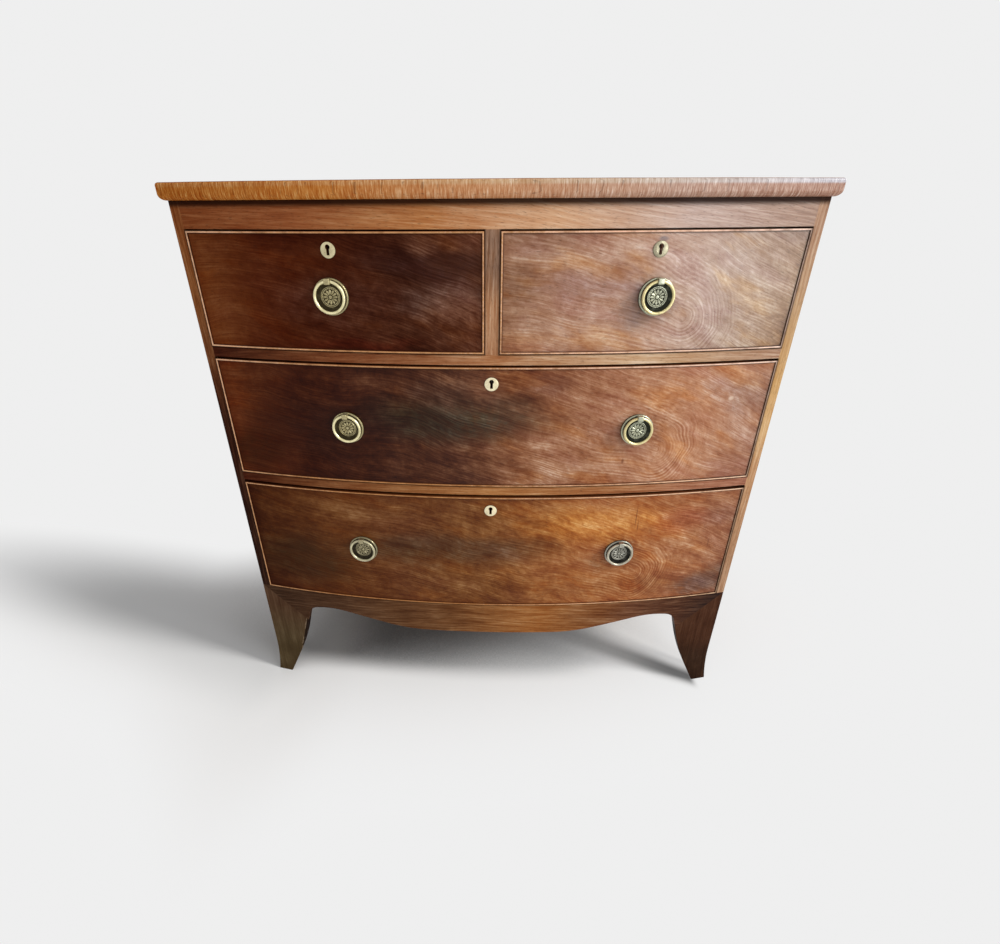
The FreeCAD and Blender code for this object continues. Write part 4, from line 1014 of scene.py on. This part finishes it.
def case_finishes():
    """Material of each CAD node that is shown as it is."""
    # The frieze's tones, pale and greyish at the right, carry painted light and sheen.
    frieze = plain_mahogany("frieze_mahogany", "xzy", [
        (122, 64, 32), (146, 84, 46), (176, 116, 68), (202, 158, 122), (176, 148, 134),
        (138, 102, 76)], 11, gloss=0.85, contrast=0.9, slant=0.1, cloudy=0.45)
    # The rails' tones carry painted light; the upper rail's paler right-hand tones are painted sheen.
    rails = plain_mahogany("rail_mahogany", "xzy", [
        (60, 16, 4), (122, 72, 38), (164, 110, 62), (142, 88, 50), (146, 94, 72)], 12, gloss=0.5,
        upper_tones=[(54, 16, 6), (120, 68, 38), (164, 112, 74), (190, 156, 122), (150, 112, 88)])
    muntin = plain_mahogany("muntin_mahogany", "zxy", [
        (120, 78, 50), (166, 120, 86), (184, 142, 108)], 14, smoke=[
            (0, 0.84, 0.06, 0.075, 0.8, (112, 84, 68)),
            (0, 0.7, 0.04, 0.04, 0.4, (150, 98, 64))])
    apron = plain_mahogany("apron_mahogany", "xzy", [
        (64, 42, 27), (76, 49, 31), (102, 65, 37), (146, 92, 47), (92, 54, 33), (22, 8, 5)], 15,
        gloss=0.14, contrast=0.9, returns=(70, 42, 26))
    lengthwise = oak("oak_lengthwise", "yzx", 21)
    crosswise = oak("oak_crosswise", "xzy", 22)
    inner = pine("pine_lengthwise", "yxz", 24)
    feet = foot_finish()
    metal = iron("lock_iron")
    finishes = {
        "frieze_rail": frieze, "drawer_rails": rails, "carcase_sides": post_mahogany(),
        "centre_muntin": muntin, "aprons": apron, "feet_front": feet, "feet_back": feet,
        "back_boards": pine("pine_upright", "zxy", 23), "centre_partition": inner,
        "runners": inner, "dustboards": inner, "bottom_board": inner, "drawer_stops": crosswise,
        "upper_left_front": upper_left_veneer(), "upper_right_front": upper_right_veneer(),
        "middle_front": middle_veneer(), "lower_front": lower_veneer(),
    }
    for drawer in DRAWERS:
        for part, finish in (("sides", lengthwise), ("back", crosswise), ("bottom", lengthwise),
                             ("lock", metal), ("lock_bolt", metal), ("pull_fixings", metal)):
            finishes[f"{drawer}_{part}"] = finish
    return finishes


def dress_node(node, finish):
    """Gives a CAD node its material in every slot."""
    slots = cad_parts[node].material_slots
    for index in range(len(slots)):
        slots[index].material = finish


# ---- stage

FLOOR_TONE = 0.84
SHADE_TONE = 0.15
BACKGROUND = 0.862
ROOM_LIGHT = 0.5
SHADE_X = -0.45
SHADE_Y = 0.06
SHADE_LEFT_Y = -0.205
SHADE_REACH = 1.45
SHADE_LEAN = 0.27
# Line of the painted shadow that trails left from the right front foot.
FOOT_SHADOW_X = 0.411
FOOT_SHADOW_Y = -0.197
FOOT_SHADOW_LEAN = 0.47
CREVICE_REACH = 0.30

SHEET_REACH = 14.0
SHEET_BEND = 3.0
SHEET_FLAT = 6.0
SHEET_TOP = 8.0

SUN_AZIMUTH = 76.0
SUN_HEIGHT = 32.0
SUN_SPREAD = 11.0
SUN_POWER = 2.5
SUN_TINT = (1.0, 0.985, 0.96)
WINDOW_PLACE = (1.8, -1.85, 1.05)
WINDOW_TARGET = (0.2, -0.2, 0.7)
WINDOW_SIZE = (1.3, 1.6)
WINDOW_POWER = 21.0
WINDOW_TINT = (0.92, 0.96, 1.0)

CAMERA_PLACE = (0.0041, -0.9820, 0.8997)
CAMERA_YAW = -2.0282
CAMERA_PITCH = 27.1323
CAMERA_ROLL = 0.3368
CAMERA_SHIFT = (0.02275, -0.00652)
SENSOR_WIDTH = 36.0
LENS_PER_WIDTH = 0.51323


def grey(level):
    """A neutral colour."""
    return (level, level, level)


def stage_finish():
    """Pale floor that holds the chest's shadow near it and goes plain farther out.

    The kept patch is an oval, centred under the chest on the right; on the left it narrows to a
    band that leans back with the light. Painted shade darkens the floor under the chest's front, a
    painted shadow deepens that band, and a painted shadow trails left from behind the right front foot.
    """
    f = Finish("stage_paper")
    left = f.x.fall(-0.5, -0.25)
    lean = (0 - f.x - CASE_HALF).above(0) * SHADE_LEAN
    band = f.y - lean - left * SHADE_LEFT_Y - SHADE_Y
    across = (f.x - SHADE_X) * (1 / SHADE_REACH)
    distance = across.hypot(band / f.x.rise(-0.8, -0.35, 0.3, 0.56))
    # Ambient occlusion darkens the floor under the chest's front: painted contact shade.
    shelter = f.add("ShaderNodeAmbientOcclusion", {"samples": 8}, {"Distance": CREVICE_REACH}, "AO")
    open_side = f.x.rise(0.12, 0.36) * 0.5
    painted_contact_shade = ((shelter + open_side).fall(0.56, 0.96) * f.behind_bow().rise(0.012, 0.07)
           * f.x.rise(-0.42, -0.22, 0.55, 1))
    tone = f.mix(grey(FLOOR_TONE), grey(SHADE_TONE), painted_contact_shade)
    # painted shadow: a dark line trailing left from the right front foot
    off_foot_shadow = (f.y - FOOT_SHADOW_Y - (FOOT_SHADOW_X - f.x) * FOOT_SHADOW_LEAN).size()
    painted_foot_shadow = (off_foot_shadow * f.x.rise(0.34, 0.44, 1, 1.35)).fall(0.006, 0.044)
    streak = painted_foot_shadow * f.x.rise(0.06, 0.4) * f.x.fall(0.422, 0.44)
    # painted shadow: a darker band along the shade on the left
    long_shade = band.size().fall(0.02, 0.22) * 0.24 * left * f.x.rise(-1.5, -0.9)
    tone = f.mix(tone, grey(0), long_shade.above(streak * f.x.rise(0.3, 0.42, 0.75, 0.9)))
    plain = f.add("ShaderNodeEmission", {}, {"Color": grey(BACKGROUND), "Strength": 1})
    paper = f.add("ShaderNodeBsdfDiffuse", {}, {"Color": tone})
    # the painted foot shadow also holds back the plain tone along its line
    share = distance.rise(0.32, 1) * f.seen() * (1 - streak * 0.8)
    mixed = f.add("ShaderNodeMixShader", {}, {0: share, 1: paper, 2: plain})
    f.add("ShaderNodeOutputMaterial", {}, {"Surface": mixed}, None)
    return f.material


def make_stage():
    """A floor sheet that curves up into a backdrop behind the chest: a circle swept along x."""
    turn = np.linspace(0, np.pi / 2, 13)
    depth = np.concatenate([[-SHEET_REACH], SHEET_FLAT + SHEET_BEND * np.sin(turn),
                            [SHEET_FLAT + SHEET_BEND]])
    level = np.concatenate([[0.0], SHEET_BEND - SHEET_BEND * np.cos(turn), [SHEET_TOP]])
    x = np.linspace(-SHEET_REACH, SHEET_REACH, 9)
    points = np.stack(np.broadcast_arrays(x[None, :], depth[:, None], level[:, None]), axis=-1)
    mesh = bpy.data.meshes.new("stage_sheet")
    mesh.from_pydata(points.reshape(-1, 3).tolist(), [], grid_faces(depth.size, x.size).tolist())
    smooth(mesh)
    mesh.materials.append(stage_finish())
    put("stage_sheet", mesh)


def make_world():
    """Plain light from all round, seen itself as the same pale tone as the backdrop."""
    world = bpy.data.worlds.new("room")
    bpy.context.scene.world = world
    world.use_nodes = True
    f = Graph(world.node_tree)
    strength = f.seen() * (BACKGROUND - ROOM_LIGHT) + ROOM_LIGHT
    sky = f.add("ShaderNodeBackground", {}, {"Color": grey(1.0), "Strength": strength})
    f.add("ShaderNodeOutputWorld", {}, {"Surface": sky}, None)


def add_lamp(name, kind, place, target, **settings):
    """A lamp at a place with its beam towards a target."""
    light = bpy.data.lights.new(name, kind)
    for key, value in settings.items():
        setattr(light, key, value)
    away = (Vector(place) - Vector(target)).to_track_quat("Z", "Y")
    lamp = put(name, light)
    lamp.matrix_world = Matrix.Translation(place) @ away.to_matrix().to_4x4()
    return lamp


def make_lamps():
    """A low sun from the right and a soft window in front of it on the right."""
    side = math.radians(SUN_AZIMUTH)
    rise = math.radians(SUN_HEIGHT)
    direction = (math.sin(side) * math.cos(rise), -math.cos(side) * math.cos(rise), math.sin(rise))
    add_lamp("key", "SUN", direction, (0.0, 0.0, 0.0), energy=SUN_POWER,
             angle=math.radians(SUN_SPREAD), color=SUN_TINT)
    window = add_lamp(
        "window", "AREA", WINDOW_PLACE, WINDOW_TARGET, shape="RECTANGLE", size=WINDOW_SIZE[0],
        size_y=WINDOW_SIZE[1], energy=WINDOW_POWER, color=WINDOW_TINT)
    window.visible_camera = False


def make_camera():
    """Camera in front of the chest, close and looking down: yaw, pitch and roll about its place."""
    yaw, pitch, roll = (math.radians(angle) for angle in (CAMERA_YAW, CAMERA_PITCH, CAMERA_ROLL))
    ahead = Vector((math.sin(yaw) * math.cos(pitch), math.cos(yaw) * math.cos(pitch), -math.sin(pitch)))
    level = Vector((math.cos(yaw), -math.sin(yaw), 0.0))
    down = ahead.cross(level)
    right = level * math.cos(roll) + down * math.sin(roll)
    lower = down * math.cos(roll) - level * math.sin(roll)
    data = bpy.data.cameras.new("camera")
    data.sensor_width = SENSOR_WIDTH
    data.lens = SENSOR_WIDTH * LENS_PER_WIDTH
    data.shift_x, data.shift_y = CAMERA_SHIFT
    camera = put("camera", data)
    turn = Matrix((right, -lower, -ahead)).transposed().to_4x4()
    camera.matrix_world = Matrix.Translation(CAMERA_PLACE) @ turn
    bpy.context.scene.camera = camera


# ---- the chest

def make_fittings():
    """Beads, keyhole plates, pull plates and the finish of the six rings."""
    bead = bead_wood("bead_mahogany")
    upper_plate = brass("pull_brass", ((180, 168, 126), (190, 192, 168)), ((56, 46, 20), (36, 38, 26)))
    lower_plate = brass("pull_brass_grey", ((160, 150, 118), (170, 168, 156)),
                        ((48, 40, 22), (28, 27, 20)))
    upper_key = brass("keyhole_brass", ((218, 206, 166), (164, 156, 130)),
                      ((96, 82, 46), (60, 56, 38)), grime_and_shade=0.3)
    lower_key = brass("keyhole_brass_bright", ((255, 244, 206), (255, 240, 200)),
                      ((104, 88, 48), (88, 74, 42)), grime_and_shade=0.3)
    upper_ring = brass("ring_brass", ((244, 234, 186), (234, 220, 164)),
                       ((124, 110, 62), (112, 100, 60)), relief=False, grime_and_shade=0.4)
    lower_ring = brass("ring_brass_grey", ((206, 198, 164), (202, 196, 176)),
                       ((88, 80, 56), (66, 62, 50)), relief=False, grime_and_shade=0.55)
    for drawer in DRAWERS:
        body = f"{drawer}_drawer"
        short = drawer.startswith("upper")
        make_cock_bead(drawer, bead)
        low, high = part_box(f"{drawer}_escutcheon")
        make_escutcheon(f"{drawer}_keyhole_plate", (low.x + high.x) / 2, (low.z + high.z) / 2, body,
                        upper_key if short else lower_key, f"{drawer}_escutcheon")
        low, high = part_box(f"{drawer}_pull_plates")
        for name in [drawer] if short else [f"{drawer}_left", f"{drawer}_right"]:
            side = -1 if name.endswith("left") else 1
            make_pull_plate(f"{name}_pull_plate", PULL_X * side, low.z + PLATE_RADIUS, body,
                            lower_plate if drawer == "lower" else upper_plate,
                            f"{drawer}_pull_plates")
            dress_node(f"{name}_ring", lower_ring if drawer == "lower" else upper_ring)


make_camera()
make_world()
make_lamps()
make_stage()
make_top(top_finish())
make_fittings()
for case_node, case_finish in case_finishes().items():
    dress_node(case_node, case_finish)
bpy.context.scene.view_settings.view_transform = "Standard"
